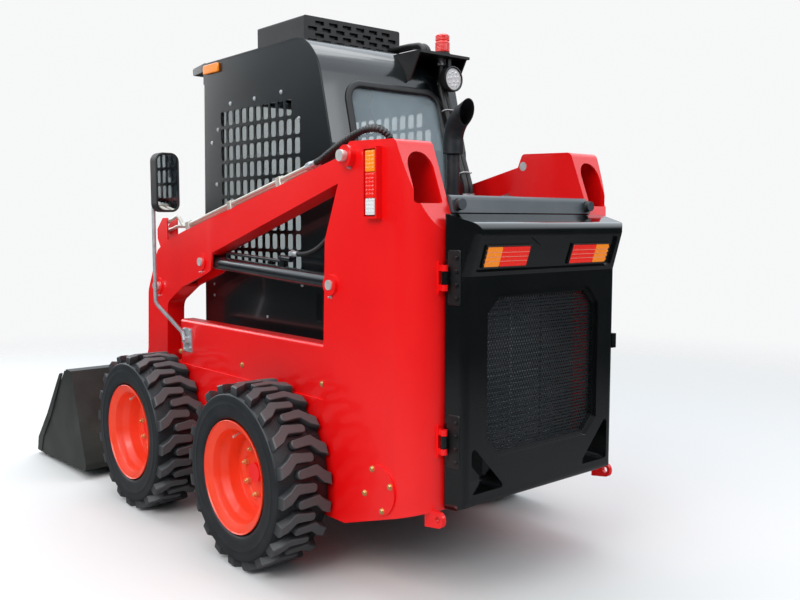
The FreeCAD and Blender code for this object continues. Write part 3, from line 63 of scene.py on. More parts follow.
def sheetFaces(rows, cols, closeRows=False, closeCols=False):
    # quads of a rows by cols grid of points, joined round where asked
    i = np.arange(rows if closeRows else rows - 1)
    j = np.arange(cols if closeCols else cols - 1)
    a, b = np.meshgrid(i, j, indexing="ij")
    a2, b2 = (a + 1) % rows, (b + 1) % cols
    quads = np.stack([a * cols + b, a2 * cols + b, a2 * cols + b2, a * cols + b2], axis=-1)
    return quads.reshape(-1, 4).tolist()


def unit(rows):
    # each direction at length one
    return rows / np.maximum(np.linalg.norm(rows, axis=-1, keepdims=True), 1e-12)


def reversedFaces(faces):
    return [list(face)[::-1] for face in faces]


def lathe(profile, sides, centre=(0, 0, 0), axis="y", closed=False):
    # each profile point (along, radius) goes round the axis: radius times sine and cosine of the angle
    profile = np.asarray(profile, float)
    angle = np.linspace(0, 2 * pi, sides, endpoint=False)
    along = np.repeat(profile[:, :1], sides, axis=1)
    u = profile[:, 1:2] * np.sin(angle)
    v = profile[:, 1:2] * np.cos(angle)
    order = {"y": (u, along, v), "x": (along, -u, v), "z": (u, -v, along)}[axis]
    points = np.stack(order, axis=-1).reshape(-1, 3) + np.array(centre)
    return points, sheetFaces(len(profile), sides, closeRows=closed, closeCols=True)


def curveThrough(points, perSpan=12):
    # smooth line through the points, each span blended from its four nearest points
    p = np.asarray(points, float)
    p = np.vstack([2 * p[0] - p[1], p, 2 * p[-1] - p[-2]])
    t = np.linspace(0, 1, perSpan, endpoint=False)[None, :, None]
    a, b, c, d = p[:-3, None], p[1:-2, None], p[2:-1, None], p[3:, None]
    square, cube = (2 * a - 5 * b + 4 * c - d) * t ** 2, (3 * b - a - 3 * c + d) * t ** 3
    spans = 0.5 * (2 * b + (c - a) * t + square + cube)
    return np.vstack([spans.reshape(-1, 3), p[-2][None]])


def sweepFrames(path):
    # two directions square to the path at each point, steadied by the path's flattest direction
    tangent = unit(np.gradient(path, axis=0))
    flat = np.linalg.svd(path - path.mean(0))[2][2]
    side = unit(np.cross(tangent, flat))
    return side, np.cross(side, tangent)


def tubeAlong(path, radius, sides=16, capped=True):
    # circle of the given radius (one value or one per point) carried along the path
    path = np.asarray(path, float)
    radius = np.asarray(radius, float)
    if radius.ndim < 2:
        radius = np.broadcast_to(radius, (len(path),))[:, None]
    radius = radius[:, :, None]
    side, up = sweepFrames(path)
    angle = np.linspace(0, 2 * pi, sides, endpoint=False)[None, :, None]
    ring = path[:, None] + radius * (np.cos(angle) * side[:, None] + np.sin(angle) * up[:, None])
    faces = sheetFaces(len(path), sides, closeCols=True)
    if capped:
        faces.append(list(range(sides - 1, -1, -1)))
        faces.append(list(range((len(path) - 1) * sides, len(path) * sides)))
    return ring.reshape(-1, 3), faces


def roundedLoop(points, radii, perCorner=6):
    # closed outline with each corner turned by an arc, as the tangent points and the arc between them
    p = np.asarray(points, float)
    r = np.broadcast_to(np.asarray(radii, float), (len(p),))
    back, ahead = unit(np.roll(p, 1, 0) - p), unit(np.roll(p, -1, 0) - p)
    half = np.arccos(np.clip((back * ahead).sum(1), -1, 1)) / 2
    middle = unit(back + ahead)
    centre = p + middle * (r / np.sin(half))[:, None]
    start = back * (r / np.tan(half))[:, None] + p - centre
    end = ahead * (r / np.tan(half))[:, None] + p - centre
    t = np.linspace(0, 1, perCorner)[None, :, None]
    swing = (pi - 2 * half)[:, None, None]
    safe = np.where(np.sin(swing) > 1e-6, np.sin(swing), 1.0)
    arc = (np.sin((1 - t) * swing) * start[:, None] + np.sin(t * swing) * end[:, None]) / safe
    return (centre[:, None] + arc).reshape(-1, 2)


def signedArea(loop):
    # twice the area, positive where the loop turns to the left
    return (loop[:, 0] * np.roll(loop[:, 1], -1) - np.roll(loop[:, 0], -1) * loop[:, 1]).sum()


def insetLoop(loop, distance):
    # each point moves inwards along the mean of its two edges' normals
    loop = np.asarray(loop, float)
    edge = unit(np.roll(loop, -1, 0) - loop)
    normal = np.stack([-edge[:, 1], edge[:, 0]], axis=1) * np.sign(signedArea(loop))
    both = normal + np.roll(normal, 1, 0)
    scale = np.maximum((both * both).sum(1, keepdims=True) / 2, 0.3)
    return loop + both / scale * distance


def plate(loop, low, high, axis, chamfer=0.0015):
    # outline pushed along an axis from low to high, with its rims chamfered
    loop = np.asarray(loop, float)
    if signedArea(loop) < 0:
        loop = loop[::-1]
    small = insetLoop(loop, chamfer)
    levels = [(low, small), (low + chamfer, loop), (high - chamfer, loop), (high, small)]
    rings = [np.insert(ring, "xyz".index(axis), level, axis=1) for level, ring in levels]
    count = len(loop)
    faces = sheetFaces(4, count, closeCols=True)
    faces.append(list(range(count)))
    faces.append(list(range(4 * count - 1, 3 * count - 1, -1)))
    return np.vstack(rings), faces if axis == "y" else reversedFaces(faces)


def slab(x0, x1, y0, y1, z0, z1, radius=0.004, chamfer=0.0015, axis="z"):
    # block with four rounded edges along the axis and chamfered rims
    lows, highs = np.array([x0, y0, z0]), np.array([x1, y1, z1])
    i = "xyz".index(axis)
    a, b = [k for k in range(3) if k != i]
    corners = [(lows[a], lows[b]), (highs[a], lows[b]), (highs[a], highs[b]), (lows[a], highs[b])]
    return plate(roundedLoop(corners, radius, 5), lows[i], highs[i], axis, chamfer)


def box2(width, height, radius, perCorner=6, centre=(0, 0)):
    # rectangle with round corners
    a, b = width / 2, height / 2
    corners = np.array([(-a, -b), (a, -b), (a, b), (-a, b)]) + centre
    return roundedLoop(corners, radius, perCorner)


def joined(parts):
    # several point and face sets as one
    points, faces, start = [], [], 0
    for p, f in parts:
        points.append(np.asarray(p, float))
        faces += [[start + k for k in face] for face in f]
        start += len(p)
    return np.vstack(points), faces


def repeated(part, places):
    # the same shape at each place
    points, faces = part
    places = np.asarray(places, float).reshape(-1, 3)
    count = len(points)
    allPoints = (points[None] + places[:, None]).reshape(-1, 3)
    return allPoints, [[k + n * count for k in face] for n in range(len(places)) for face in faces]


def turned(part, degrees, axis, about=(0, 0, 0)):
    points, faces = part
    a = math.radians(degrees)
    c, s = math.cos(a), math.sin(a)
    matrix = {"x": [[1, 0, 0], [0, c, -s], [0, s, c]],
              "y": [[c, 0, s], [0, 1, 0], [-s, 0, c]],
              "z": [[c, -s, 0], [s, c, 0], [0, 0, 1]]}[axis]
    about = np.array(about, float)
    return (points - about) @ np.array(matrix).T + about, faces


def mirroredPart(part):
    points, faces = part
    return points * np.array([1, -1, 1]), reversedFaces(faces)


def bothSides(part):
    return joined([part, mirroredPart(part)])


def heads(places, axis, size=0.009, height=0.007):
    # hexagon heads with chamfered tops on round washers, one at each place
    washer = [(0, 0.001), (0, size * 1.35), (height * 0.25, size * 1.35), (height * 0.25, 0.001)]
    hexagon = [(height * 0.2, size), (height * 0.85, size), (height, size * 0.82), (height, 0.0005)]
    return repeated(joined([lathe(washer, 16, axis=axis), lathe(hexagon, 6, axis=axis)]), places)


def newPiece(name, part, material):
    # mesh object from points and faces, moved from the rear axle's frame into the model's
    points, faces = part
    points = np.array(points, float)
    points[:, 0] += axleX
    mesh = bpy.data.meshes.new(name)
    mesh.from_pydata(points.tolist(), [], faces)
    mesh.update()
    mesh.shade_smooth()
    mesh.materials.append(material)
    piece = bpy.data.objects.new(name, mesh)
    scene.collection.objects.link(piece)
    return piece


def makePiece(name, part, body, material, replaces=(), sharp=32.0, marks=None):
    # piece that rides on one body; marks are a value per point for its material
    piece = newPiece(name, part, material)
    piece.data.set_sharp_from_angle(angle=math.radians(sharp))
    if marks is not None:
        layer = piece.data.attributes.new("mark", "FLOAT", "POINT")
        layer.data.foreach_set("value", np.asarray(marks, np.float32))
    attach(piece, body)
    if replaces:
        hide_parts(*replaces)


def makeHose(name, part, replaces=()):
    # hose fixed in the model's frame, its place baked into its points, hiding the nodes it replaces
    piece = newPiece(name, part, hoseRubber)
    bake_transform(piece)
    if replaces:
        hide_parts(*replaces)


# Shared shader groups

def startGroup(name, inputs, outputs):
    group = bpy.data.node_groups.new(name, "ShaderNodeTree")
    for label, kind, value in inputs:
        socket = group.interface.new_socket(label, in_out="INPUT", socket_type="NodeSocket" + kind)
        if value is not None:
            socket.default_value = value
    for label, kind in outputs:
        group.interface.new_socket(label, in_out="OUTPUT", socket_type="NodeSocket" + kind)
    entry = group.nodes.new("NodeGroupInput")
    leave = group.nodes.new("NodeGroupOutput")
    return group, entry, leave


def addNode(tree, kind, **values):
    # values are the node's own settings or, where it has none of that name, its inputs
    node = tree.nodes.new("ShaderNode" + kind)
    for key, value in values.items():
        if hasattr(node, key):
            setattr(node, key, value)
        else:
            node.inputs[key].default_value = value
    return node


def feed(tree, item, socket):
    # links another node's output, or sets a plain value
    if isinstance(item, bpy.types.NodeSocket):
        tree.links.new(item, socket)
    else:
        socket.default_value = item


def ranged(tree, value, low=0.0, high=1.0, toLow=0.0, toHigh=1.0, kind="LINEAR"):
    node = addNode(tree, "MapRange", interpolation_type=kind)
    items = {"Value": value, "From Min": low, "From Max": high, "To Min": toLow, "To Max": toHigh}
    for key, item in items.items():
        feed(tree, item, node.inputs[key])
    return node.outputs[0]


def reckoned(tree, operation, *items, clamp=False):
    node = addNode(tree, "Math", operation=operation, use_clamp=clamp)
    for k, item in enumerate(items):
        feed(tree, item, node.inputs[k])
    return node.outputs[0]


def mixedColour(tree, share, first, second, blend="MIX"):
    node = addNode(tree, "Mix", data_type="RGBA", blend_type=blend)
    for k, item in ((0, share), (6, first), (7, second)):
        feed(tree, item, node.inputs[k])
    return node.outputs[2]


def mixedSurface(tree, share, first, second, end="Material Output"):
    node = addNode(tree, "MixShader")
    for k, item in enumerate((share, first, second)):
        feed(tree, item, node.inputs[k])
    feed(tree, node.outputs[0], tree.nodes[end].inputs["Surface"])


def noise(tree, place, scale, detail, roughness=0.5):
    node = addNode(tree, "TexNoise", Detail=detail, Roughness=roughness)
    feed(tree, place, node.inputs["Vector"])
    feed(tree, scale, node.inputs["Scale"])
    return node.outputs["Fac"]


def dustGroup():
    # base colour varied by large noise, then dust where noise is high and the surface is near the ground
    group, entry, leave = startGroup("dustAndTone", [
        ("Base", "Color", (0.5, 0.5, 0.5, 1)), ("Dust", "Color", (0.35, 0.3, 0.25, 1)),
        ("Amount", "Float", 0.3), ("Vary", "Float", 0.1), ("Scale", "Float", 9.0), ("Height", "Float", 0.6),
    ], [("Color", "Color"), ("Mask", "Float")])
    given = entry.outputs
    place = addNode(group, "TexCoord").outputs["Object"]
    split = addNode(group, "SeparateXYZ")
    feed(group, place, split.inputs[0])
    large = noise(group, place, given["Scale"], 3.0, 0.6)
    fine = noise(group, place, 140.0, 2.0)
    fall = ranged(group, split.outputs["Z"], 0.0, given["Height"], 1.0, 0.0)
    grain = reckoned(group, "MULTIPLY", ranged(group, large, 0.42, 0.72), fine)
    low = reckoned(group, "MULTIPLY_ADD", fall, 0.6, grain)
    mask = reckoned(group, "MULTIPLY", low, given["Amount"], clamp=True)
    darkest = reckoned(group, "SUBTRACT", 1.0, given["Vary"])
    shade = ranged(group, large, 0.3, 0.7, darkest, 1.0)
    varied = mixedColour(group, 1.0, given["Base"], shade, "MULTIPLY")
    feed(group, mixedColour(group, mask, varied, given["Dust"]), leave.inputs["Color"])
    feed(group, mask, leave.inputs["Mask"])
    return group


def reliefGroup():
    # relief: coarse and fine noise added, turned into a height for the surface normal
    group, entry, leave = startGroup("reliefNoise", [
        ("Coarse", "Float", 30.0), ("Fine", "Float", 400.0), ("Share", "Float", 0.5),
        ("Strength", "Float", 0.1), ("Depth", "Float", 0.001),
    ], [("Normal", "Vector"), ("Height", "Float")])
    given = entry.outputs
    place = addNode(group, "TexCoord").outputs["Object"]
    coarse = noise(group, place, given["Coarse"], 2.0)
    fine = noise(group, place, given["Fine"], 1.0)
    both = addNode(group, "Mix", data_type="FLOAT")
    for k, item in ((0, given["Share"]), (2, coarse), (3, fine)):
        feed(group, item, both.inputs[k])
    bump = addNode(group, "Bump")
    heights = {"Strength": given["Strength"], "Distance": given["Depth"], "Height": both.outputs[0]}
    for key, item in heights.items():
        feed(group, item, bump.inputs[key])
    feed(group, bump.outputs[0], leave.inputs["Normal"])
    feed(group, both.outputs[0], leave.inputs["Height"])
    return group


dustAndTone = dustGroup()
reliefNoise = reliefGroup()


def addGroup(tree, group, **values):
    node = tree.nodes.new("ShaderNodeGroup")
    node.node_tree = group
    for key, value in values.items():
        node.inputs[key].default_value = value
    return node.outputs


def finish(name, colour, roughness=0.4, metallic=0.0, coat=0.0, dust=0.2, vary=0.08, scale=6.0, height=0.6,
           coarse=25.0, fine=500.0, strength=0.05, dustColour=(0.3, 0.26, 0.22), extra=None):
    # surface with dust below the height; coarse and fine are the scales of the relief's noise
    material = bpy.data.materials.new(name)
    material.use_nodes = True
    tree = material.node_tree
    shader = tree.nodes["Principled BSDF"].inputs
    tone = addGroup(tree, dustAndTone, Base=(*colour, 1), Dust=(*dustColour, 1), Amount=dust, Vary=vary,
                    Scale=scale, Height=height)
    relief = addGroup(tree, reliefNoise, Coarse=coarse, Fine=fine, Strength=strength)
    rough = ranged(tree, tone["Mask"], toLow=roughness, toHigh=min(roughness + 0.4, 0.95))
    values = {"Metallic": metallic, "Coat Weight": coat, "Coat Roughness": 0.06, "Roughness": rough,
              "Normal": relief["Normal"], "Base Color": tone["Color"]}
    for key, item in values.items():
        feed(tree, item, shader[key])
    if extra:
        extra(tree, shader, tone["Color"])
    return material


def lugWear(tree, shader, tone):
    # lighter worn rubber where the mark attribute is high
    mark = addNode(tree, "Attribute", attribute_name="mark")
    feed(tree, mixedColour(tree, mark.outputs["Fac"], tone, (0.078, 0.08, 0.083, 1)), shader["Base Color"])


def glow(colour, strength):
    def add(tree, shader, tone):
        feed(tree, (*colour, 1), shader["Emission Color"])
        feed(tree, strength, shader["Emission Strength"])
    return add


hullRed = finish("hullRed", (0.93, 0.0015, 0.0025), 0.32, coat=0.45, dust=0.03, vary=0.06, scale=2.0,
                 height=0.5, strength=0.02)
rimRed = finish("rimRed", (0.98, 0.05, 0.01), 0.34, coat=0.3, dust=0.08, vary=0.1, scale=7.0,
                strength=0.04)
doorBlack = finish("doorBlack", (0.0035, 0.0042, 0.0045), 0.1, coat=0.7, dust=0.012, vary=0.1, height=0.5,
                   strength=0.0)
cabBlack = finish("cabBlack", (0.0045, 0.0075, 0.009), 0.2, coat=0.35, dust=0.02, vary=0.2, scale=3.0,
                  strength=0.01)
hoodGrey = finish("hoodGrey", (0.075, 0.092, 0.105), 0.36, dust=0.15, vary=0.2, scale=5.0, height=0.2)
rubberBlack = finish("rubberBlack", (0.01, 0.011, 0.013), 0.55, dust=0.15, vary=0.2, scale=14.0, height=0.7,
                     coarse=90.0, fine=900.0, strength=0.2, dustColour=(0.14, 0.13, 0.12))
tyreRubber = finish("tyreRubber", (0.0095, 0.0125, 0.0155), 0.46, dust=0.1, vary=0.3, scale=11.0,
                    height=0.75, coarse=60.0, fine=700.0, strength=0.22, dustColour=(0.11, 0.105, 0.1),
                    extra=lugWear)
hoseRubber = finish("hoseRubber", (0.01, 0.01, 0.011), 0.48, dust=0.1, vary=0.2, scale=20.0, height=0.3,
                    coarse=200.0, fine=900.0, strength=0.2)
pinSteel = finish("pinSteel", (0.84, 0.82, 0.8), 0.34, metallic=0.55, dust=0.08, vary=0.2, scale=30.0,
                  strength=0.1)
zincSteel = finish("zincSteel", (0.7, 0.73, 0.76), 0.4, metallic=0.65, dust=0.08, vary=0.3, scale=24.0,
                   strength=0.1)
yellowZinc = finish("yellowZinc", (0.8, 0.56, 0.24), 0.3, metallic=0.7, dust=0.1, vary=0.2, scale=60.0)
pipeSteel = finish("pipeSteel", (0.72, 0.68, 0.6), 0.34, metallic=0.5, dust=0.1, vary=0.2, scale=20.0)
chromeRod = finish("chromeRod", (0.85, 0.85, 0.87), 0.08, metallic=1.0, dust=0.05, vary=0.05, strength=0.01)
cylinderBlack = finish("cylinderBlack", (0.01, 0.013, 0.016), 0.2, coat=0.5, dust=0.03, vary=0.15)
bucketGrey = finish("bucketGrey", (0.02, 0.023, 0.02), 0.4, dust=0.22, vary=0.3, scale=5.0, height=0.5,
                    strength=0.1, dustColour=(0.16, 0.16, 0.14))
frameBlack = finish("frameBlack", (0.009, 0.009, 0.01), 0.4, dust=0.08, vary=0.2, scale=8.0)
exhaustSteel = finish("exhaustSteel", (0.03, 0.035, 0.04), 0.42, metallic=0.6, dust=0.12, vary=0.3,
                      scale=14.0, strength=0.1)
mattePlastic = finish("mattePlastic", (0.014, 0.014, 0.015), 0.55, dust=0.1, vary=0.1, coarse=300.0,
                      fine=1200.0, strength=0.25)
meshSteel = finish("meshSteel", (0.03, 0.034, 0.038), 0.3, metallic=0.4, dust=0.06, vary=0.2, scale=4.0,
                   height=0.4)
finGrey = finish("finGrey", (0.5, 0.53, 0.56), 0.5, metallic=0.2, dust=0.2, vary=0.4, scale=5.0, height=0.4)
lampRib = finish("lampRib", (0.85, 0.35, 0.25), 0.2, dust=0.02, vary=0.05)
engineGrey = finish("engineGrey", (0.05, 0.052, 0.055), 0.6, metallic=0.4, dust=0.4, vary=0.4, scale=12.0,
                    strength=0.3)
seatVinyl = finish("seatVinyl", (0.012, 0.012, 0.013), 0.45, dust=0.05, vary=0.1, coarse=250.0, fine=700.0,
                   strength=0.3)
lens = {"roughness": 0.12, "coat": 0.8, "dust": 0.02, "vary": 0.02, "strength": 0.02}
redLens = finish("redLens", (0.75, 0.012, 0.006), **lens, extra=glow((1.0, 0.02, 0.01), 0.25))
amberLens = finish("amberLens", (0.9, 0.24, 0.01), **lens, extra=glow((1.0, 0.3, 0.02), 0.25))
whiteLens = finish("whiteLens", (0.82, 0.83, 0.84), **lens)
beaconRed = finish("beaconRed", (0.72, 0.008, 0.006), 0.14, coat=0.8, dust=0.02, vary=0.04, strength=0.02,
                   extra=glow((1.0, 0.02, 0.01), 0.2))


def clearGlass(name, tint, roughness, film):
    # clear pane under a pale film that noise makes uneven
    material = bpy.data.materials.new(name)
    material.use_nodes = True
    tree = material.node_tree
    shader = tree.nodes["Principled BSDF"]
    values = {"Base Color": (*tint, 1), "Roughness": roughness, "IOR": 1.45, "Transmission Weight": 1.0}
    for key, value in values.items():
        feed(tree, value, shader.inputs[key])
    haze = addNode(tree, "BsdfDiffuse", Color=(0.4, 0.5, 0.55, 1))
    streaks = noise(tree, addNode(tree, "TexCoord").outputs["Object"], 2.2, 3.0)
    share = ranged(tree, streaks, 0.25, 0.8, film * 0.7, min(film * 1.4, 1.0))
    mixedSurface(tree, share, shader.outputs[0], haze.outputs[0])
    return material


paneGlass = clearGlass("paneGlass", (0.8, 0.86, 0.86), 0.02, 0.4)
mirrorGlass = finish("mirrorGlass", (0.75, 0.78, 0.8), 0.03, metallic=1.0, dust=0.02, vary=0.02, strength=0.0)
print("materials ready")


# Stage, light and camera

def makeStage():
    # the mirrored tone is a painted reflection: the dark colour the floor takes only when seen in glossy
    # surfaces
    stage = {"floorHalf": 14.0, "floorTone": (0.78, 0.78, 0.77, 1), "mirrored": (0.1, 0.1, 0.1, 1),
             "fadeFrom": 2.6, "fadeTo": 8.0, "low": (0.02, 0.024, 0.026, 1), "high": (0.86, 0.93, 1.0, 1),
             "riseFrom": 0.04, "riseTo": 0.55, "seen": (0.93, 0.935, 0.94, 1), "soft": 0.85, "mirror": 1.7}
    half = stage["floorHalf"]
    mesh = bpy.data.meshes.new("floor")
    corners = [(-half, -half, 0), (half, -half, 0), (half, half, 0), (-half, half, 0)]
    mesh.from_pydata(corners, [], [(0, 1, 2, 3)])
    floor = bpy.data.objects.new("floor", mesh)
    scene.collection.objects.link(floor)
    material = bpy.data.materials.new("paleFloor")
    material.use_nodes = True
    tree = material.node_tree
    shader = tree.nodes["Principled BSDF"]
    shader.inputs["Roughness"].default_value = 0.7
    # painted reflection: glossy rays see the floor in the dark mirrored tone instead of its pale one, so
    # shiny parts reflect a darker floor than the camera sees
    glossy = addNode(tree, "LightPath").outputs["Is Glossy Ray"]
    tone = mixedColour(tree, glossy, stage["floorTone"], stage["mirrored"])
    feed(tree, tone, shader.inputs["Base Color"])
    reach = addNode(tree, "VectorMath", operation="LENGTH")
    feed(tree, addNode(tree, "TexCoord").outputs["Object"], reach.inputs[0])
    fade = ranged(tree, reach.outputs["Value"], stage["fadeFrom"], stage["fadeTo"], kind="SMOOTHSTEP")
    mixedSurface(tree, fade, shader.outputs[0], addNode(tree, "BsdfTransparent").outputs[0])
    mesh.materials.append(material)

    # sky: dark at the horizon, bright above, stronger for glossy rays, and one pale tone for the camera
    world = bpy.data.worlds.new("softSky")
    scene.world = world
    world.use_nodes = True
    tree = world.node_tree
    back = tree.nodes["Background"]
    split = addNode(tree, "SeparateXYZ")
    feed(tree, addNode(tree, "TexCoord").outputs["Generated"], split.inputs[0])
    rise = ranged(tree, split.outputs["Z"], stage["riseFrom"], stage["riseTo"], kind="SMOOTHSTEP")
    feed(tree, mixedColour(tree, rise, stage["low"], stage["high"]), back.inputs["Color"])
    rays = addNode(tree, "LightPath").outputs
    power = ranged(tree, rays["Is Glossy Ray"], toLow=stage["soft"], toHigh=stage["mirror"])
    feed(tree, power, back.inputs["Strength"])
    seen = addNode(tree, "Background", Color=stage["seen"])
    either = reckoned(tree, "MAXIMUM", rays["Is Camera Ray"], rays["Is Transmission Ray"])
    mixedSurface(tree, either, back.outputs[0], seen.outputs[0], "World Output")


def addLamp(name, place, aim, size, power, colour=(1, 1, 1)):
    data = bpy.data.lights.new(name, "AREA")
    data.shape = "RECTANGLE"
    data.size, data.size_y = size
    data.energy = power
    data.color = colour
    lamp = bpy.data.objects.new(name, data)
    lamp.location = place
    lamp.rotation_euler = (Vector(aim) - Vector(place)).to_track_quat("-Z", "Y").to_euler()
    scene.collection.objects.link(lamp)


def makeCamera():
    view = {"place": (-3.14 + axleX, 2.6006, 1.44), "ahead": (0.7554, -0.6483, -0.0889), "lens": 39.34}
    data = bpy.data.cameras.new("photoView")
    data.lens = view["lens"]
    data.sensor_width = 36.0
    camera = bpy.data.objects.new("photoView", data)
    camera.location = view["place"]
    camera.rotation_euler = Vector(view["ahead"]).to_track_quat("-Z", "Y").to_euler()
    scene.collection.objects.link(camera)
    scene.camera = camera


makeStage()
addLamp("keyLight", (-2.5, 6.0, 5.5), (0, 0, 0.8), (5.0, 4.0), 300, (1.0, 0.985, 0.96))
addLamp("rearLight", (-6.5, -2.5, 4.6), (-0.8, 0, 1.0), (3.5, 2.5), 110, (0.96, 0.985, 1.0))
addLamp("topLight", (0.5, -0.5, 6.5), (0, 0, 1.0), (5.0, 4.0), 150)
addLamp("frontLight", (6.0, 1.5, 3.0), (0.5, 0, 0.8), (3.5, 3.0), 90)
makeCamera()
print("stage, light and camera ready")


# Wheels

def tyrePart():
    tyre = {"half": 0.119, "tread": 0.3575, "tip": 0.3865, "seat": 0.2136, "lugs": 20, "lead": 0.046,
            "fall": 0.006, "width": 0.04, "inner": -0.028, "knee": 0.05, "shoulder": 0.082,
            "ribSteps": (0.3, 0.38, 0.46, 0.54), "ribLean": 0.55}
    half, tread, tip, shoulder = tyre["half"], tyre["tread"], tyre["tip"], tyre["shoulder"]
    # half a section as (across, radius): bead, sidewall with a fine ridge, smooth shoulder ring, tread floor
    outer = np.array([
        (0.094, tyre["seat"]), (0.0985, tyre["seat"] + 0.006), (0.0985, 0.238), (0.106, 0.241),
        (0.114, 0.245), (0.119, 0.252), (0.1212, 0.262), (0.1222, 0.278), (0.1226, 0.3025),
        (0.1231, 0.304), (0.1231, 0.3056), (0.1225, 0.307), (0.1224, 0.325), (0.1216, 0.34),
        (0.1203, 0.3446), (0.118, 0.347), (0.114, 0.3484), (0.104, 0.3505), (0.095, 0.353),
        (0.075, 0.3568), (0.045, 0.3585), (0.0, 0.359)])
    points, faces = lathe(np.vstack([outer[:-1] * (-1, 1), outer[::-1]]), 120, closed=True)
    parts = [(points, reversedFaces(faces))]
    marks = [np.zeros(len(points))]

    # one lug in plan: distance round the tread and distance across it, a bent bar with a round inner end
    w = tyre["width"] / 2
    knee, lead, fall, inner = tyre["knee"], tyre["lead"], tyre["fall"], tyre["inner"]
    turn = np.linspace(0, pi, 9)
    tipX = lead - fall + w * 0.88 * np.cos(turn)
    tipY = inner - w * 0.88 * np.sin(turn) * 0.8
    loop = np.vstack([
        [(-w * 1.2, half - 0.001), (w * 1.05, half - 0.001), (w * 1.05 + lead * 0.45, knee + 0.03),
         (lead + w, knee + 0.004), (lead + w * 1.02, knee - 0.012), (lead - fall * 0.4 + w * 0.9, 0.012)],
        np.stack([tipX, tipY], axis=1),
        [(lead - fall * 0.4 - w * 0.9, 0.014), (lead - w * 0.98, knee - 0.018),
         (lead - w * 1.05, knee - 0.006), (-w * 1.2 + lead * 0.35, knee + 0.026)],
    ])
    loop[:, 0] -= lead * 0.5
    # foot, upper edge and top of the lug, each drawn in from the one below and ending short of the sidewall
    rims = [insetLoop(loop, inset) for inset in (-0.0045, -0.001, 0.0018)]
    for ring, short in zip(rims, (0.002, 0.0025, 0.0075)):
        ring[:, 1] = np.minimum(ring[:, 1], half - short)
    slope = np.clip((rims[0][:, 1] - shoulder) / 0.03, 0, 1)
    radii = [tread - 0.006 - 0.012 * slope]
    for ring, drop, fallOff in ((rims[1], 0.0025, 0.004), (rims[2], 0.0, 0.002)):
        radii.append(tip - drop - fallOff * np.clip((ring[:, 1] - 0.095) / 0.025, 0, 1))
    count = len(loop)
    lugFaces = sheetFaces(3, count, closeCols=True) + [list(range(2 * count, 3 * count))]
    lugMark = np.concatenate([np.zeros(count), np.full(count, 0.55), np.ones(count)])
    # fine slanting rib between lugs on the shoulder
    rib = box2(0.0032, 0.05, 0.001, 2, (0.0, 0.084))
    rib[:, 0] -= (rib[:, 1] - 0.084) * tyre["ribLean"]
    ribFoot = tread - 0.009 - 0.01 * np.clip((rib[:, 1] - shoulder) / 0.028, 0, 1)
    ribCount = len(rib)
    ribFaces = sheetFaces(2, ribCount, closeCols=True) + [list(range(ribCount, 2 * ribCount))]

    def wrap(rings, radiusRows, turn, side):
        along = np.stack([ring[:, 0] for ring in rings])
        across = np.stack([ring[:, 1] for ring in rings]) * side
        radius = np.stack(radiusRows)
        angle = along / tip + turn
        return np.stack([radius * np.sin(angle), across, radius * np.cos(angle)], axis=-1).reshape(-1, 3)

    pitch = 2 * pi / tyre["lugs"]
    for side, shift, lug, thin in ((1, 0.0, reversedFaces(lugFaces), reversedFaces(ribFaces)),
                                   (-1, 0.5, lugFaces, ribFaces)):
        for k in range(tyre["lugs"]):
            turn = pitch * (k + shift)
            parts.append((wrap(rims, radii, turn, side), lug))
            marks.append(lugMark)
            for step in tyre["ribSteps"]:
                points = wrap([rib, rib], [ribFoot, ribFoot + 0.0125], turn + pitch * step, side)
                parts.append((points, thin))
                marks.append(np.zeros(2 * ribCount))
    return joined(parts), np.concatenate(marks)


def rimPart():
    rim = {"disc": -0.021, "nutCircle": 0.105, "nuts": 8, "firstNut": 0.2, "bore": 0.042}
    d, bore = rim["disc"], rim["bore"]
    # section as (across, radius): outer flange and bead seat, drop centre, inner flange, then disc and dish
    section = [
        (0.12, 0.2355), (0.1185, 0.2375), (0.112, 0.2375), (0.1095, 0.235), (0.104, 0.212),
        (0.099, 0.21), (0.088, 0.21), (0.064, 0.2035), (0.036, 0.186), (0.02, 0.184),
        (d - 0.05, 0.184), (-0.083, 0.21), (-0.095, 0.21), (-0.103, 0.236), (-0.111, 0.2355),
        (-0.111, 0.23), (-0.098, 0.2), (d - 0.036, 0.1745), (d - 0.012, 0.1725), (d - 0.008, 0.15),
        (d - 0.012, 0.118), (d - 0.012, bore), (d, bore), (d, 0.122), (d + 0.003, 0.126),
        (d + 0.0105, 0.148), (d + 0.0105, 0.1555), (d + 0.006, 0.168), (d + 0.004, 0.1718),
        (d + 0.006, 0.173), (0.03, 0.173), (0.04, 0.1765), (0.06, 0.1895), (0.07, 0.1935),
        (0.092, 0.196), (0.099, 0.1995), (0.1085, 0.216), (0.115, 0.232)]
    angle = np.linspace(0, 2 * pi, rim["nuts"], endpoint=False) + rim["firstNut"]
    circle = rim["nutCircle"]
    ring = np.stack([circle * np.cos(angle), np.full(rim["nuts"], d), circle * np.sin(angle)], axis=1)
    seats = repeated(lathe([(-0.002, 0.017), (0.003, 0.0165), (0.0035, 0.001)], 20), ring)
    nuts = lathe([(0.003, 0.0125), (0.018, 0.0125), (0.0205, 0.0105), (0.0205, 0.0082)], 6)
    studs = lathe([(0.018, 0.0078), (0.0275, 0.0078), (0.029, 0.0065), (0.029, 0.0004)], 14)
    hardware = joined([repeated(nuts, ring), repeated(studs, ring)])
    valve = [(0.058, 0.036, 0.166), (0.056, 0.05, 0.164), (0.052, 0.068, 0.158), (0.0505, 0.08, 0.1545)]
    stem = tubeAlong(curveThrough(valve[:3], 6), 0.0045, 10)
    cap = tubeAlong(valve[2:], 0.006, 10)
    return joined([lathe(section, 96, closed=True), seats]), hardware, joined([stem, cap])


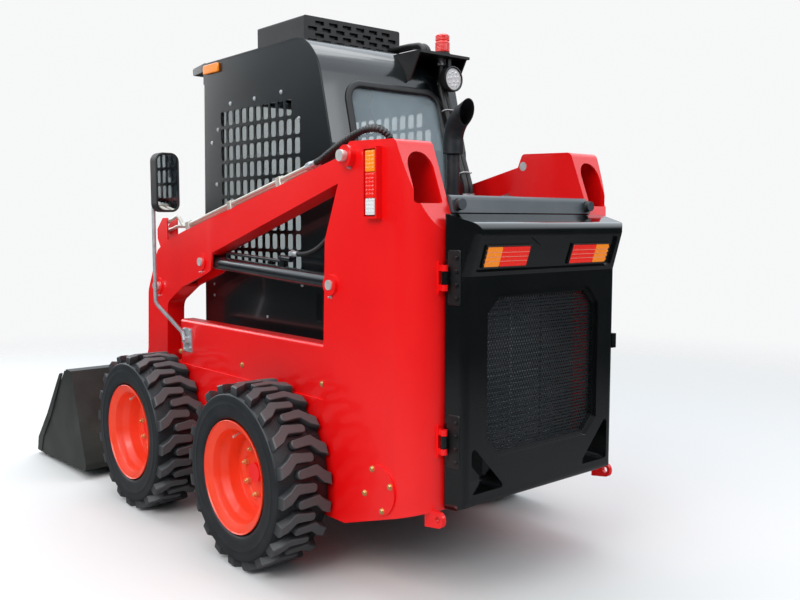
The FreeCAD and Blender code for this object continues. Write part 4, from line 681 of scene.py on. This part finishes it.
def outward(part):
    # turns a closed shape's faces outwards when its signed volume is negative
    points, faces = part
    fans = np.array([(f[0], f[k], f[k + 1]) for f in faces for k in range(1, len(f) - 1)])
    a, b, c = points[fans[:, 0]], points[fans[:, 1]], points[fans[:, 2]]
    volume = (a * np.cross(b, c)).sum()
    return (points, reversedFaces(faces)) if volume < 0 else part


def makeWheels():
    wheel = {"front": 1.037, "rear": 0.0, "side": 0.705, "up": 0.3865}
    (tyrePoints, tyreFaces), marks = tyrePart()
    rimBody, hardware, valve = rimPart()
    kinds = (
        ("tyre", (tyrePoints, tyreFaces), "tyre", tyreRubber, marks),
        ("rim", outward(rimBody), "rim_red", rimRed, None),
        ("wheelNuts", hardware, "pin_steel", yellowZinc, None),
        ("valve", valve, "hose_rubber", pipeSteel, None),
    )
    for end in ("front", "rear"):
        for label, side in (("left", 1), ("right", -1)):
            place = np.array([wheel[end], side * wheel["side"], wheel["up"]])
            for kind, part, slotName, material, mark in kinds:
                points, faces = part if side > 0 else mirroredPart(part)
                nodeName = kind + "_" + end + "_" + label
                replaced = (nodeName,) if nodeName in nodes else ()
                makePiece(nodeName + "_look", (points + place, faces), "wheel_" + end + "_" + label,
                          material, replaced, marks=mark)
    print("wheels ready")


makeWheels()


# Rear door

doorFace = -0.9708
doorCrease = 1.247
doorLean = math.degrees(math.atan2(0.049, 0.151))


def leant(part):
    # drawn upright on the door's face, then leant back about the crease below the lamps
    return turned(part, -doorLean, "y", (doorFace, 0, doorCrease))


def dome(radius, rise, sides=12):
    # shallow cap along x: height falls with the square of the distance from its middle
    share = np.array([1.0, 0.92, 0.7, 0.4, 0.08])
    return lathe([(-rise * (1 - s * s), radius * s) for s in share], sides, axis="x")


def holedSheet(sheet):
    # staggered oval holes: each cell joins its six border points to the points round its hole
    cols, rows = sheet["cols"], sheet["rows"]
    stepY, stepZ = 2 * sheet["half"] / cols, (sheet["high"] - sheet["low"]) / rows
    angle = np.linspace(0, 2 * pi, 12, endpoint=False) - pi / 2
    hole = np.stack([sheet["holeY"] * np.cos(angle), sheet["holeZ"] * np.sin(angle)], axis=1)
    rim = np.array([(0, -0.5), (0.5, -0.5), (0.5, 0.5), (0, 0.5), (-0.5, 0.5), (-0.5, -0.5)]) * (stepY, stepZ)
    near, far = sheet["x"], sheet["x"] + sheet["thick"]
    flat = np.vstack([rim, hole])
    cell = np.vstack([np.insert(flat, 0, near, axis=1), np.insert(flat, 0, far, axis=1)])
    starts = [0, 2, 4, 6, 8, 10, 12]
    faces = []
    for k in range(6):
        inner = [6 + (n % 12) for n in range(starts[k], starts[k + 1] + 1)]
        face = [k, (k + 1) % 6] + inner[::-1]
        faces.append(face[::-1])
        faces.append([18 + n for n in face])
    for k in range(12):
        a, b = 6 + k, 6 + (k + 1) % 12
        faces.append([a, b, 18 + b, 18 + a])
    places = []
    for j in range(rows):
        shift = 0.5 if j % 2 else 0.0
        for i in range(cols - (1 if j % 2 else 0)):
            places.append((0, -sheet["half"] + stepY * (i + 0.5 + shift), sheet["low"] + stepZ * (j + 0.5)))
    return repeated((cell, faces), places)


def makeDoor():
    mesh = {"x": -0.939, "thick": 0.0014, "half": 0.3185, "low": 0.5835, "high": 1.1765, "cols": 44,
            "rows": 46, "holeY": 0.005, "holeZ": 0.0042}
    x, low, high = mesh["x"], 0.59, 1.168
    bars = ((-0.322, 0.322, 0.58, low), (-0.322, 0.322, high, 1.18), (-0.322, -0.311, low, high),
            (0.311, 0.322, low, high))
    border = [slab(x - 0.001, x + 0.01, *bar, axis="x") for bar in bars]
    border.append(slab(x + 0.0016, x + 0.006, -0.015, -0.009, low, high, axis="x"))
    makePiece("doorMesh", joined([holedSheet(mesh), *border]), "rear_door", meshSteel,
              ("door_grille",), sharp=40)

    lamp = {"face": doorFace + 0.0035, "back": doorFace + 0.0112, "low": doorCrease + 0.0275,
            "high": doorCrease + 0.1125, "inner": 0.121, "split": 0.272, "outer": 0.357, "wall": 0.0038,
            "gap": 0.004, "ledY": 0.0158, "ledZ": 0.0172}
    face, back, bottom, top = lamp["face"], lamp["back"], lamp["low"], lamp["high"]
    inner, split, outer, wall, gap = lamp["inner"], lamp["split"], lamp["outer"], lamp["wall"], lamp["gap"]
    red = slab(face, back, inner + gap, split, bottom + gap, top - gap, 0.005, 0.002, "x")
    amber = slab(face, back, split + 0.0015, outer - gap, bottom + gap, top - gap, 0.005, 0.002, "x")
    walls = ((inner, outer, bottom, bottom + wall), (inner, outer, top - wall, top),
             (inner, inner + wall, bottom + gap, top - gap), (outer - wall, outer, bottom + gap, top - gap))
    casing = [slab(face - 0.0012, back, *edges, 0.001, 0.0006, "x") for edges in walls]
    redLed = [(face, inner + 0.018 + lamp["ledY"] * i, bottom + 0.0165 + lamp["ledZ"] * j)
              for i in range(9) for j in range(4)]
    amberLed = [(face, split + 0.0165 + lamp["ledY"] * i, bottom + 0.0165 + lamp["ledZ"] * j)
                for i in range(5) for j in range(4)]
    ribs = [slab(face - 0.001, face + 0.001, inner + 0.006, outer - 0.006, z - 0.0008, z + 0.0008, 0.0004,
                 0.0003, "x") for z in (bottom + 0.0255, bottom + 0.0425, bottom + 0.0597)]
    led = dome(0.0062, 0.0016)
    for name, parts, slotName, material, replaced in (
        ("tailLampRed", [red, repeated(led, redLed)], "lamp_red", redLens, ("tail_lamps",)),
        ("tailLampAmber", [amber, repeated(led, amberLed)], "lamp_amber", amberLens, ()),
        ("tailLampCasing", casing, "door_black", mattePlastic, ()),
        ("tailLampRibs", ribs, "lamp_red", lampRib, ()),
    ):
        makePiece(name, bothSides(leant(joined(parts))), "rear_door", material, replaced)

    hinge = {"heights": (0.652, 1.243), "y": 0.448, "half": 0.098, "splay": 10.8}
    y, half = hinge["y"], hinge["half"]
    plates, bolts = [], []
    for z in hinge["heights"]:
        leaf = slab(-0.9535, -0.8975, y - 0.004, y + 0.0035, z - half, z + half, 0.008, 0.002, "y")
        plates.append(turned(leaf, hinge["splay"], "z", (-0.92, y, z)))
        bolts += [(-0.939, y - 0.0005, z + dz) for dz in (-0.072, -0.024, 0.024, 0.072)]
    makePiece("doorHingePlates", joined(plates), "rear_door", frameBlack)
    makePiece("doorHingeBolts", heads(bolts, "y", 0.0065, 0.008), "rear_door", frameBlack)
    print("rear door ready")


def makeRadiator():
    core = {"x": -0.7905, "half": 0.398, "low": 0.505, "high": 1.225, "fins": 84,
            "tubes": (0.705, 0.832, 0.957, 1.082)}
    x, half = core["x"], core["half"]
    step = (core["high"] - core["low"]) / core["fins"]
    fin = slab(x, x + 0.012, -half, half, 0, step * 0.34, 0.0005, 0.0003, "x")
    fins = repeated(fin, [(0, 0, core["low"] + step * (k + 0.3)) for k in range(core["fins"])])
    back = slab(x + 0.01, -0.731, -half - 0.002, half + 0.002, 0.501, 1.229, 0.003, 0.002, "x")
    makePiece("radiatorFins", joined([fins, back]), "frame", finGrey, ("radiator",))
    strips = [slab(x - 0.003, x + 0.006, -half, half, z - 0.003, z + 0.003, 0.001, 0.0006, "x")
              for z in core["tubes"]]
    strips.append(slab(x - 0.004, x + 0.006, -half, half, 1.125, 1.228, 0.002, 0.001, "x"))
    strips.append(slab(x - 0.003, x + 0.006, -0.008, 0.008, 0.51, 1.125, 0.001, 0.0006, "x"))
    makePiece("radiatorStrips", joined(strips), "frame", zincSteel)
    print("radiator ready")


makeDoor()
makeRadiator()


# Lamps on the towers, the cab and the tray

def makeLamps():
    # a lamp on each tower: white, red and amber lens from the bottom, each with (first light's height, rows)
    marker = {"x0": -0.6705, "x1": -0.6115, "y0": 0.5822, "y1": 0.6012,
              "levels": (1.464, 1.526, 1.621, 1.7005), "lights": ((1.4772, 4), (1.5402, 6), (1.6352, 5)),
              "stepX": 0.0175, "stepZ": 0.0142}
    x0, x1, y0, y1 = marker["x0"], marker["x1"], marker["y0"], marker["y1"]
    led = turned(dome(0.0058, 0.0018), -90.0, "z")
    lenses = []
    for low, high, (first, count) in zip(marker["levels"], marker["levels"][1:], marker["lights"]):
        spots = [(x0 + 0.012 + marker["stepX"] * i, y1, first + marker["stepZ"] * j)
                 for i in range(3) for j in range(count)]
        lens = slab(x0 + 0.003, x1 - 0.003, y0 + 0.001, y1, low + 0.001, high - 0.001, 0.003, 0.0015, "y")
        lenses.append([lens, repeated(led, spots)])
    white, red, amber = lenses
    housing = slab(x0 - 0.001, x1 + 0.001, y0, y0 + 0.009, 1.4632, 1.7012, 0.004, 0.001, "y")
    visor = slab(0.806, 0.956, 0.3957, 0.4095, 2.186, 2.23, 0.008, 0.003, "y")
    makePiece("markerAmber", bothSides(joined([amber[0], amber[1], visor])), "frame", amberLens,
              ("marker_lamps",))
    makePiece("markerRed", bothSides(joined(red)), "frame", redLens)
    makePiece("markerWhite", bothSides(joined(white)), "frame", whiteLens)
    makePiece("markerHousing", bothSides(housing), "frame", mattePlastic)

    work = {"y": -0.293, "z": 2.104, "face": -0.1545, "radius": 0.05, "leds": 9, "outerRing": 0.032,
            "innerRing": 0.014}
    face, y, z = work["face"], work["y"], work["z"]
    disc = [(face + 0.004, 0.0005), (face + 0.0035, 0.03), (face + 0.0045, work["radius"])]
    angle = np.linspace(0, 2 * pi, work["leds"], endpoint=False)
    rings = [(work["outerRing"], a) for a in angle] + [(work["innerRing"], a) for a in angle[::3] + 0.3]
    leds = [(face + 0.0036, y + r * math.cos(a), z + r * math.sin(a)) for r, a in rings]
    glass = joined([lathe(disc, 40, (0, y, z), "x"), repeated(dome(0.0068, 0.003), leds)])
    makePiece("workLampGlass", glass, "frame", whiteLens)
    bezel = [(face + 0.006, 0.05), (face - 0.0008, 0.0505), (face - 0.0015, 0.054), (face + 0.001, 0.0585),
             (face + 0.012, 0.0588), (face + 0.012, 0.057)]
    fin = [(-0.118, 0.0455), (-0.118, 0.05), (-0.1165, 0.05), (-0.1165, 0.0455)]
    fin = lathe(fin, 36, (0, y, z), "x")
    fins = [(fin[0] + (0.0035 * k, 0, 0), fin[1]) for k in range(4)]
    rim = [lathe(bezel, 48, (0, y, z), "x"), *fins]
    makePiece("workLampRim", joined(rim), "frame", frameBlack)

    # beacon: base and a lens with ribs round it, seven below the waist and four above, as (height, radius)
    beacon = {"place": (-0.087, -0.282, 0), "pitch": 0.0062, "lower": (2.235, 7, 0.0332, 0.0346),
              "upper": (2.286, 4, 0.0322, 0.0334)}

    def ribs(low, count, valley, crest):
        rows = [low + beacon["pitch"] * k for k in range(count)]
        return [p for z0 in rows for p in ((z0, valley), (z0 + 0.0022, crest), (z0 + 0.0042, valley))]

    profile = [(2.2335, 0.0005), (2.2335, 0.032), *ribs(*beacon["lower"]), (2.279, 0.0325),
               (2.28, 0.0295), (2.283, 0.029), (2.2845, 0.0315), *ribs(*beacon["upper"]),
               (2.312, 0.03), (2.316, 0.025), (2.3185, 0.016), (2.3195, 0.0005)]
    base = [(2.2163, 0.0005), (2.2163, 0.0355), (2.229, 0.0358), (2.231, 0.034), (2.233, 0.03),
            (2.233, 0.0005)]
    place = beacon["place"]
    makePiece("beaconLens", lathe(profile, 48, place, "z"), "frame", beaconRed, ("beacon",))
    makePiece("beaconBase", lathe(base, 40, place, "z"), "frame", frameBlack)
    print("lamps ready")


# Pipes, hoses and fittings

def coiled(path, radius, pitch, depth, sides=18):
    # hose in a spiral guard: the radius rises and falls with the way along the hose less the angle round it
    path = np.asarray(path, float)
    step = np.linalg.norm(np.diff(path, axis=0), axis=1)
    way = np.concatenate([[0], np.cumsum(step)])
    count = int(way[-1] / pitch * 7)
    fine = np.linspace(0, way[-1], count)
    dense = np.stack([np.interp(fine, way, path[:, k]) for k in range(3)], axis=1)
    angle = np.linspace(0, 2 * pi, sides, endpoint=False)
    wave = np.sin(2 * pi * fine[:, None] / pitch - angle[None, :])
    return tubeAlong(dense, radius + depth * np.clip(1.6 * wave, -1, 1), sides)


def fitting(place, ahead, size=0.0135, length=0.052):
    # hose end along a direction: crimped sleeve, hexagon nut and collar, cut at these shares of its length
    a, b, c, d, e = (length * share for share in (0.45, 0.47, 0.5, 0.78, 0.8))
    waist = size * 0.86
    sleeve = lathe([(0, 0.001), (0, size), (a, size), (b, waist), (c, waist), (c, 0.001)], 24, axis="x")
    nut = lathe([(c, 0.001), (c, size * 1.25), (d, size * 1.25), (e, size * 1.1), (e, 0.001)], 6, axis="x")
    collar = lathe([(e, 0.001), (e, size * 0.8), (length, size * 0.8), (length, 0.001)], 20, axis="x")
    points, faces = joined([sleeve, nut, collar])
    ahead = unit(np.array(ahead, float))
    side = unit(np.cross((0, 0, 1), ahead))
    up = np.cross(ahead, side)
    return points @ np.stack([ahead, side, up]) + np.array(place), faces


def alongArm(x):
    # height of the arm's top edge between its rear end and its bend
    (rearX, rearZ), (bendX, bendZ) = (-0.545, 1.722), (0.9014, 1.3942)
    return rearZ + (bendZ - rearZ) * (x - rearX) / (bendX - rearX)


def makePipes():
    pipe = {"radius": 0.0088, "lift": 0.034, "sides": (0.53, 0.496),
            "stubs": ((1.159, 1.442), (1.221, 1.393)), "clamps": (0.06, 0.48, 0.9), "middle": 0.513,
            "slope": 12.8}

    def onArm(x, y):
        return (x, y, alongArm(x) + pipe["lift"])

    tubes, clamps, nuts = [], [], []
    for y, (stubX, stubZ) in zip(pipe["sides"], pipe["stubs"]):
        bend = curveThrough([(stubX, y, stubZ), (stubX - 0.07, y, stubZ + 0.011),
                             (stubX - 0.138, y, stubZ + 0.024),
                             (0.955, y, alongArm(0.955) + pipe["lift"] + 0.003), onArm(0.86, y)], 10)
        tubes.append(tubeAlong(np.vstack([bend, onArm(0.8, y), onArm(-0.131, y)]), pipe["radius"], 20))
        nuts.append(fitting(onArm(-0.205, y), (0.085, 0, alongArm(-0.13) - alongArm(-0.215)), 0.0135, 0.074))
        nuts.append(fitting((stubX + 0.008, y, stubZ - 0.001), (-1, 0, 0.1), 0.013, 0.04))
    for x in pipe["clamps"]:
        z = alongArm(x)
        block = slab(x - 0.019, x + 0.019, 0.484, 0.542, z + 0.004, z + 0.047, 0.006, 0.002)
        foot = slab(x - 0.026, x + 0.026, 0.48, 0.546, z + 0.002, z + 0.007, 0.004, 0.001)
        bolt = heads([(x, pipe["middle"], z + 0.046)], "z", 0.0075, 0.008)
        for group, part in ((clamps, block), (clamps, foot), (nuts, bolt)):
            group.append(turned(part, pipe["slope"], "y", (x, pipe["middle"], z)))
    makePiece("boomTubes", joined(tubes), "boom", pipeSteel, ("boom_pipes",))
    makePiece("tubeClamps", joined(clamps), "boom", pipeSteel)
    makePiece("tubeNuts", joined(nuts), "boom", zincSteel)
    outline = roundedLoop([(1.12, 1.346), (1.202, 1.304), (1.236, 1.352), (1.236, 1.404), (1.17, 1.462),
                           (1.12, 1.462)], [0.004, 0.008, 0.014, 0.014, 0.014, 0.008], 6)
    bracket = [plate(outline, y - 0.004, y + 0.004, "y") for y in (0.4855, 0.5405)]
    bracket.append(slab(1.124, 1.18, 0.488, 0.538, 1.34, 1.352))
    makePiece("couplerBracket", joined(bracket), "boom", hullRed)


def makeBoomHoses():
    # both hoses leave the pipes, cross over the tower's inner wall and go down inside it
    hose = {"radius": 0.0125, "pitch": 0.013, "depth": 0.0014, "start": (-0.215, 0.52, 1.685),
            "end": (-0.45, 0.44, 1.8)}
    ways = (
        [(-0.205, 0.53, 1.6795), (-0.245, 0.529, 1.692), (-0.292, 0.524, 1.716), (-0.345, 0.507, 1.749),
         (-0.395, 0.476, 1.783), (-0.447, 0.452, 1.798), (-0.492, 0.432, 1.794), (-0.513, 0.401, 1.765),
         (-0.508, 0.3855, 1.705), (-0.497, 0.3845, 1.62), (-0.495, 0.3845, 1.541)],
        [(-0.205, 0.496, 1.6795), (-0.243, 0.494, 1.694), (-0.288, 0.487, 1.722), (-0.338, 0.468, 1.757),
         (-0.385, 0.446, 1.793), (-0.428, 0.424, 1.808), (-0.466, 0.403, 1.802), (-0.486, 0.374, 1.768),
         (-0.481, 0.3585, 1.705), (-0.47, 0.3575, 1.62), (-0.468, 0.3575, 1.541)],
    )
    for k, way in enumerate(ways):
        part = coiled(curveThrough(way, 14), hose["radius"], hose["pitch"], hose["depth"])
        makeHose("boomHose" + str(k), part,
                 () if k else ("boom_hoses", "tower_hoses"))
    print("pipes and boom hoses ready")


def makeCabHoses():
    # crimped ends at the deck and the lamp tray, and ties round both hoses as (x, height, tilt)
    hose = {"sides": (-0.275, -0.304), "jog": 0.026, "jogFrom": 1.79, "jogRise": 0.27, "tieY": -0.3155,
            "ties": ((-0.208, 1.665, 20.0), (-0.152, 1.815, 17.0), (-0.112, 1.96, 14.5))}
    ties, sleeves = [], []
    for y in hose["sides"]:
        sleeves.append(fitting((-0.232, y - hose["jog"], 1.5385), (0, 0.001, 1), 0.015, 0.04))
        sleeves.append(fitting((-0.084, y, 2.203), (0, 0.001, -1), 0.015, 0.04))
    for x, z, tilt in hose["ties"]:
        outer = np.insert(box2(0.038, 0.069, 0.017, 8), 2, 0, axis=1)
        points, faces = turned(tubeAlong(np.vstack([outer, outer[:1]]), 0.0022, 8), tilt, "y")
        y = hose["tieY"] + hose["jog"] * max(0.0, min(1.0, (z - hose["jogFrom"]) / hose["jogRise"]))
        ties.append((points + np.array([x, y, z]), faces))
    makePiece("hoseTies", joined(ties), "frame", whiteLens)
    makePiece("hoseSleeves", joined(sleeves), "frame", zincSteel)


makeLamps()
makePipes()
makeBoomHoses()
makeCabHoses()


# Cab sides

def filledPlate(loops, low, high, bevel=0.0008):
    # outlines in x and z filled as one flat curve with its holes, thickened along y
    curve = bpy.data.curves.new("outline", "CURVE")
    curve.dimensions = "2D"
    curve.fill_mode = "BOTH"
    curve.extrude = (high - low) / 2 - bevel
    curve.bevel_depth = bevel
    curve.bevel_resolution = 0
    curve.offset = -bevel
    for loop in loops:
        spline = curve.splines.new("POLY")
        spline.points.add(len(loop) - 1)
        flat = np.zeros((len(loop), 4))
        flat[:, :2] = loop
        flat[:, 3] = 1
        spline.points.foreach_set("co", flat.ravel())
        spline.use_cyclic_u = True
    holder = bpy.data.objects.new("outline", curve)
    scene.collection.objects.link(holder)
    seen = holder.evaluated_get(bpy.context.evaluated_depsgraph_get())
    mesh = bpy.data.meshes.new_from_object(seen)
    points = np.array([v.co for v in mesh.vertices])
    faces = [list(f.vertices) for f in mesh.polygons]
    bpy.data.objects.remove(holder)
    bpy.data.meshes.remove(mesh)
    bpy.data.curves.remove(curve)
    points = np.stack([points[:, 0], (low + high) / 2 - points[:, 2], points[:, 1]], axis=1)
    return outward((points, faces))


# the cab's rear wall seen from the side, from its foot upwards, as (x, height)
wallCorners = [(-0.175, 1.15), (-0.133, 1.773), (-0.044, 2.127)]


def wallAt(up):
    # x of the rear wall by height
    across, heights = zip(*wallCorners)
    return np.interp(up, heights, across)


def makeCabSides():
    grid = {"left": 0.1, "right": 0.812, "low": 1.222, "high": 1.992, "cols": 11, "rows": 9, "bar": 0.016,
            "corner": 0.012, "fromEdge": 0.19, "slots": 3, "slotX": -0.042, "slotStep": 0.014,
            "sheet": (0.387, 0.395)}
    outline = roundedLoop([(1.012, 0.73), (0.975, 2.205), (0.96, 2.243), (0.06, 2.247),
                           *wallCorners[::-1], (-0.06, 0.73)], [0, 0, 0.02, 0.2, 0.2, 0, 0.04, 0], 14)
    keep = np.ones(len(outline), bool)
    keep[1:] = np.linalg.norm(np.diff(outline, axis=0), axis=1) > 1e-5
    loops = [insetLoop(outline[keep], 0.0083)]
    stepX = (grid["right"] - grid["left"]) / grid["cols"]
    stepZ = (grid["high"] - grid["low"]) / grid["rows"]
    wide, tall = stepX - grid["bar"], stepZ - grid["bar"]
    for i in range(grid["cols"]):
        for j in range(grid["rows"]):
            x = grid["left"] + stepX * (i + 0.5)
            z = grid["low"] + stepZ * (j + 0.5)
            if x - wide / 2 - wallAt(z + tall / 2) >= grid["fromEdge"]:
                loops.append(box2(wide, tall, grid["corner"], 5, (x, z)))
    for k in range(grid["slots"]):
        loops.append(box2(0.006, 0.126, 0.0028, 4, (grid["slotX"] + grid["slotStep"] * k, 1.07)))
    side = filledPlate(loops, *grid["sheet"])
    makePiece("cabSides", bothSides(side), "frame", cabBlack, ("cab_sides",), sharp=25)
    large = [(0.706, 2.018), (0.482, 2.019), (0.253, 2.024), (0.113, 1.894), (0.832, 1.901), (0.896, 1.84),
             (0.854, 1.63), (0.854, 1.39), (0.1, 1.16)]
    small = [(0.9, 1.121), (0.9, 1.064), (0.393, 0.993)]
    bolts = [heads([(x, 0.3945, z) for x, z in spots], "y", size, height)
             for spots, size, height in ((large, 0.0075, 0.006), (small, 0.0055, 0.004))]
    makePiece("cabBolts", bothSides(joined(bolts)), "frame", zincSteel)
    print("cab sides ready")


def makeRearSeal():
    seal = {"half": 0.272, "low": 1.56, "high": 2.043, "corner": 0.08, "step": 0.02}
    middle = (0, (seal["low"] + seal["high"]) / 2)
    loop = box2(2 * seal["half"], seal["high"] - seal["low"], seal["corner"], 14, middle)
    dense = []
    for a, b in zip(loop, np.roll(loop, -1, 0)):
        count = max(1, int(np.linalg.norm(b - a) / seal["step"]))
        dense += [a + (b - a) * n / count for n in range(count)]
    dense = np.array(dense)
    path = np.stack([wallAt(dense[:, 1]) - 0.003, dense[:, 0], dense[:, 1]], axis=1)
    tangent = unit(np.roll(path, -1, 0) - np.roll(path, 1, 0))
    (lowX, lowZ), (highX, highZ) = wallCorners[1:]
    slope = math.atan2(highX - lowX, highZ - lowZ)
    normal = np.array([-math.cos(slope), 0, math.sin(slope)])
    side = unit(np.cross(tangent, normal))
    # flattened bead: wide lip over the sheet, lower towards the glass
    section = np.array([(-0.014, -0.002), (-0.013, 0.005), (-0.005, 0.0085), (0.004, 0.0065), (0.01, 0.0075),
                        (0.016, 0.004), (0.017, -0.002)])
    ring = path[:, None] + side[:, None] * section[None, :, :1] + normal * section[None, :, 1:]
    part = (ring.reshape(-1, 3), sheetFaces(len(path), len(section), closeRows=True, closeCols=True))
    makePiece("rearWindowSeal", outward(part), "frame", rubberBlack, sharp=60)


makeCabSides()
makeRearSeal()


# Bolts, nipples and small fittings

def nipple(place):
    return lathe([(0, 0.0005), (0, 0.006), (0.004, 0.006), (0.005, 0.0035), (0.011, 0.003), (0.014, 0.0038),
                  (0.016, 0.0028), (0.0165, 0.0005)], 12, place, "y")


def makeFittings():
    # yellow bolts of the side panels and of the round cover on each tower
    panel = [(x, 0.5715, z) for x, z in ((0.331, 0.789), (-0.295, 0.789), (0.938, 0.784))]
    makePiece("panelBolts", bothSides(heads(panel, "y", 0.01, 0.007)), "frame", yellowZinc)
    cover = {"x": -0.661, "z": 0.441, "circle": 0.08, "first": 69.0, "bolts": 4}
    ring = [math.radians(cover["first"] + 360.0 / cover["bolts"] * k) for k in range(cover["bolts"])]
    spots = [(cover["x"] + cover["circle"] * math.cos(a), 0.5852, cover["z"] + cover["circle"] * math.sin(a))
             for a in ring]
    makePiece("coverBolts", bothSides(heads(spots, "y", 0.0095, 0.0085)), "frame", yellowZinc)
    greases = [nipple((-0.496, 0.5775, 1.644)), nipple((-0.369, 0.5775, 1.146))]
    makePiece("towerNipples", bothSides(joined(greases)), "frame", zincSteel)
    armGreases = [nipple((0.719, 0.5605, 1.197)), nipple((1.194, 0.5605, 1.052))]
    makePiece("armNipples", bothSides(joined(armGreases)), "boom", zincSteel)
    foot = [(x, 0.577, z) for x, z in ((0.827, 0.899), (0.826, 0.812), (0.889, 0.901), (0.889, 0.8))]
    makePiece("mirrorFootBolts", bothSides(heads(foot, "y", 0.0075, 0.006)), "frame", zincSteel)
    knob = [(-0.8905, 0.0005), (-0.8905, 0.018), (-0.8885, 0.0212), (-0.876, 0.0212), (-0.8735, 0.019),
            (-0.8735, 0.0005)]
    knobs = []
    for y in (-0.373, 0.373):
        knobs.append(lathe(knob, 24, (0, y, 1.504), "x"))
        knobs.append(slab(-0.876, -0.863, y - 0.013, y + 0.013, 1.482, 1.526, 0.006, 0.002, "x"))
    makePiece("hoodKnobs", joined([outward(k) for k in knobs]), "engine_hood", rubberBlack)
    mirror = {"wide": 0.105, "tall": 0.268, "corner": 0.034, "middle": (0.6605, 1.632), "lip": 0.009}
    wide, tall, corner, middle, lip = mirror.values()
    glass = plate(box2(wide, tall, corner, 8, middle), 0.86, 0.864, "x", 0.0008)
    rim = box2(wide + lip, tall + lip, corner + 0.004, 10, middle)
    ring = np.insert(rim, 0, 0.8625, axis=1)
    frameTube = tubeAlong(np.vstack([ring, ring[:1]]), 0.0046, 10, capped=False)
    makePiece("mirrorGlass", bothSides(outward(glass)), "frame", mirrorGlass)
    makePiece("mirrorRims", bothSides(outward(frameTube)), "frame", mattePlastic)
    print("small fittings ready")


def makeLiftHose():
    nut = fitting((-0.045, 0.513, 1.3045), (1, 0, 0.03), 0.0125, 0.06)
    makePiece("liftFitting", bothSides(nut), "lift_barrels", zincSteel)
    hose = {"radius": 0.0105, "pitch": 0.01, "depth": 0.0008, "start": (-0.07, 0.513, 1.305),
            "end": (-0.4, 0.505, 1.46)}
    way = [(-0.043, 0.513, 1.3045), (-0.085, 0.513, 1.305), (-0.14, 0.513, 1.314), (-0.195, 0.512, 1.335),
           (-0.25, 0.51, 1.37), (-0.3, 0.508, 1.415), (-0.345, 0.506, 1.455), (-0.395, 0.504, 1.475),
           (-0.445, 0.504, 1.455), (-0.47, 0.504, 1.4)]
    left = coiled(curveThrough(way, 10), hose["radius"], hose["pitch"], hose["depth"], 16)
    for label, side, part in (("Left", 1, left), ("Right", -1, mirroredPart(left))):
        makeHose("liftHose" + label, part)


makeFittings()
makeLiftHose()


# Finishes of the carried nodes

nodeFinish = (
    (hullRed, "towers chain_cases boom_arms boom_crossmember"),
    (pinSteel, "tower_pins arm_pins"),
    (frameBlack, "chassis_tub work_lamp coupling_frame"),
    (engineGrey, "engine_block"),
    (hoodGrey, "engine_deck engine_hood"),
    (doorBlack, "rear_door"),
    (cabBlack, "cab_roof cab_rear_wall cab_floor cab_front_frame cab_door"),
    (paneGlass, "cab_door_glass rear_glass"),
    (seatVinyl, "seat"),
    (mattePlastic, "controls ac_unit mirrors"),
    (exhaustSteel, "exhaust_pipe"),
    (hoseRubber, "climate_hoses"),
    (zincSteel, "mirror_arms"),
    (cylinderBlack, "lift_barrels tilt_barrels"),
    (chromeRod, "lift_rods tilt_rods"),
    (bucketGrey, "bucket"),
)
for material, names in nodeFinish:
    for nodeName in names.split():
        for slot in nodes[nodeName].material_slots:
            slot.material = material
print("node finishes set")
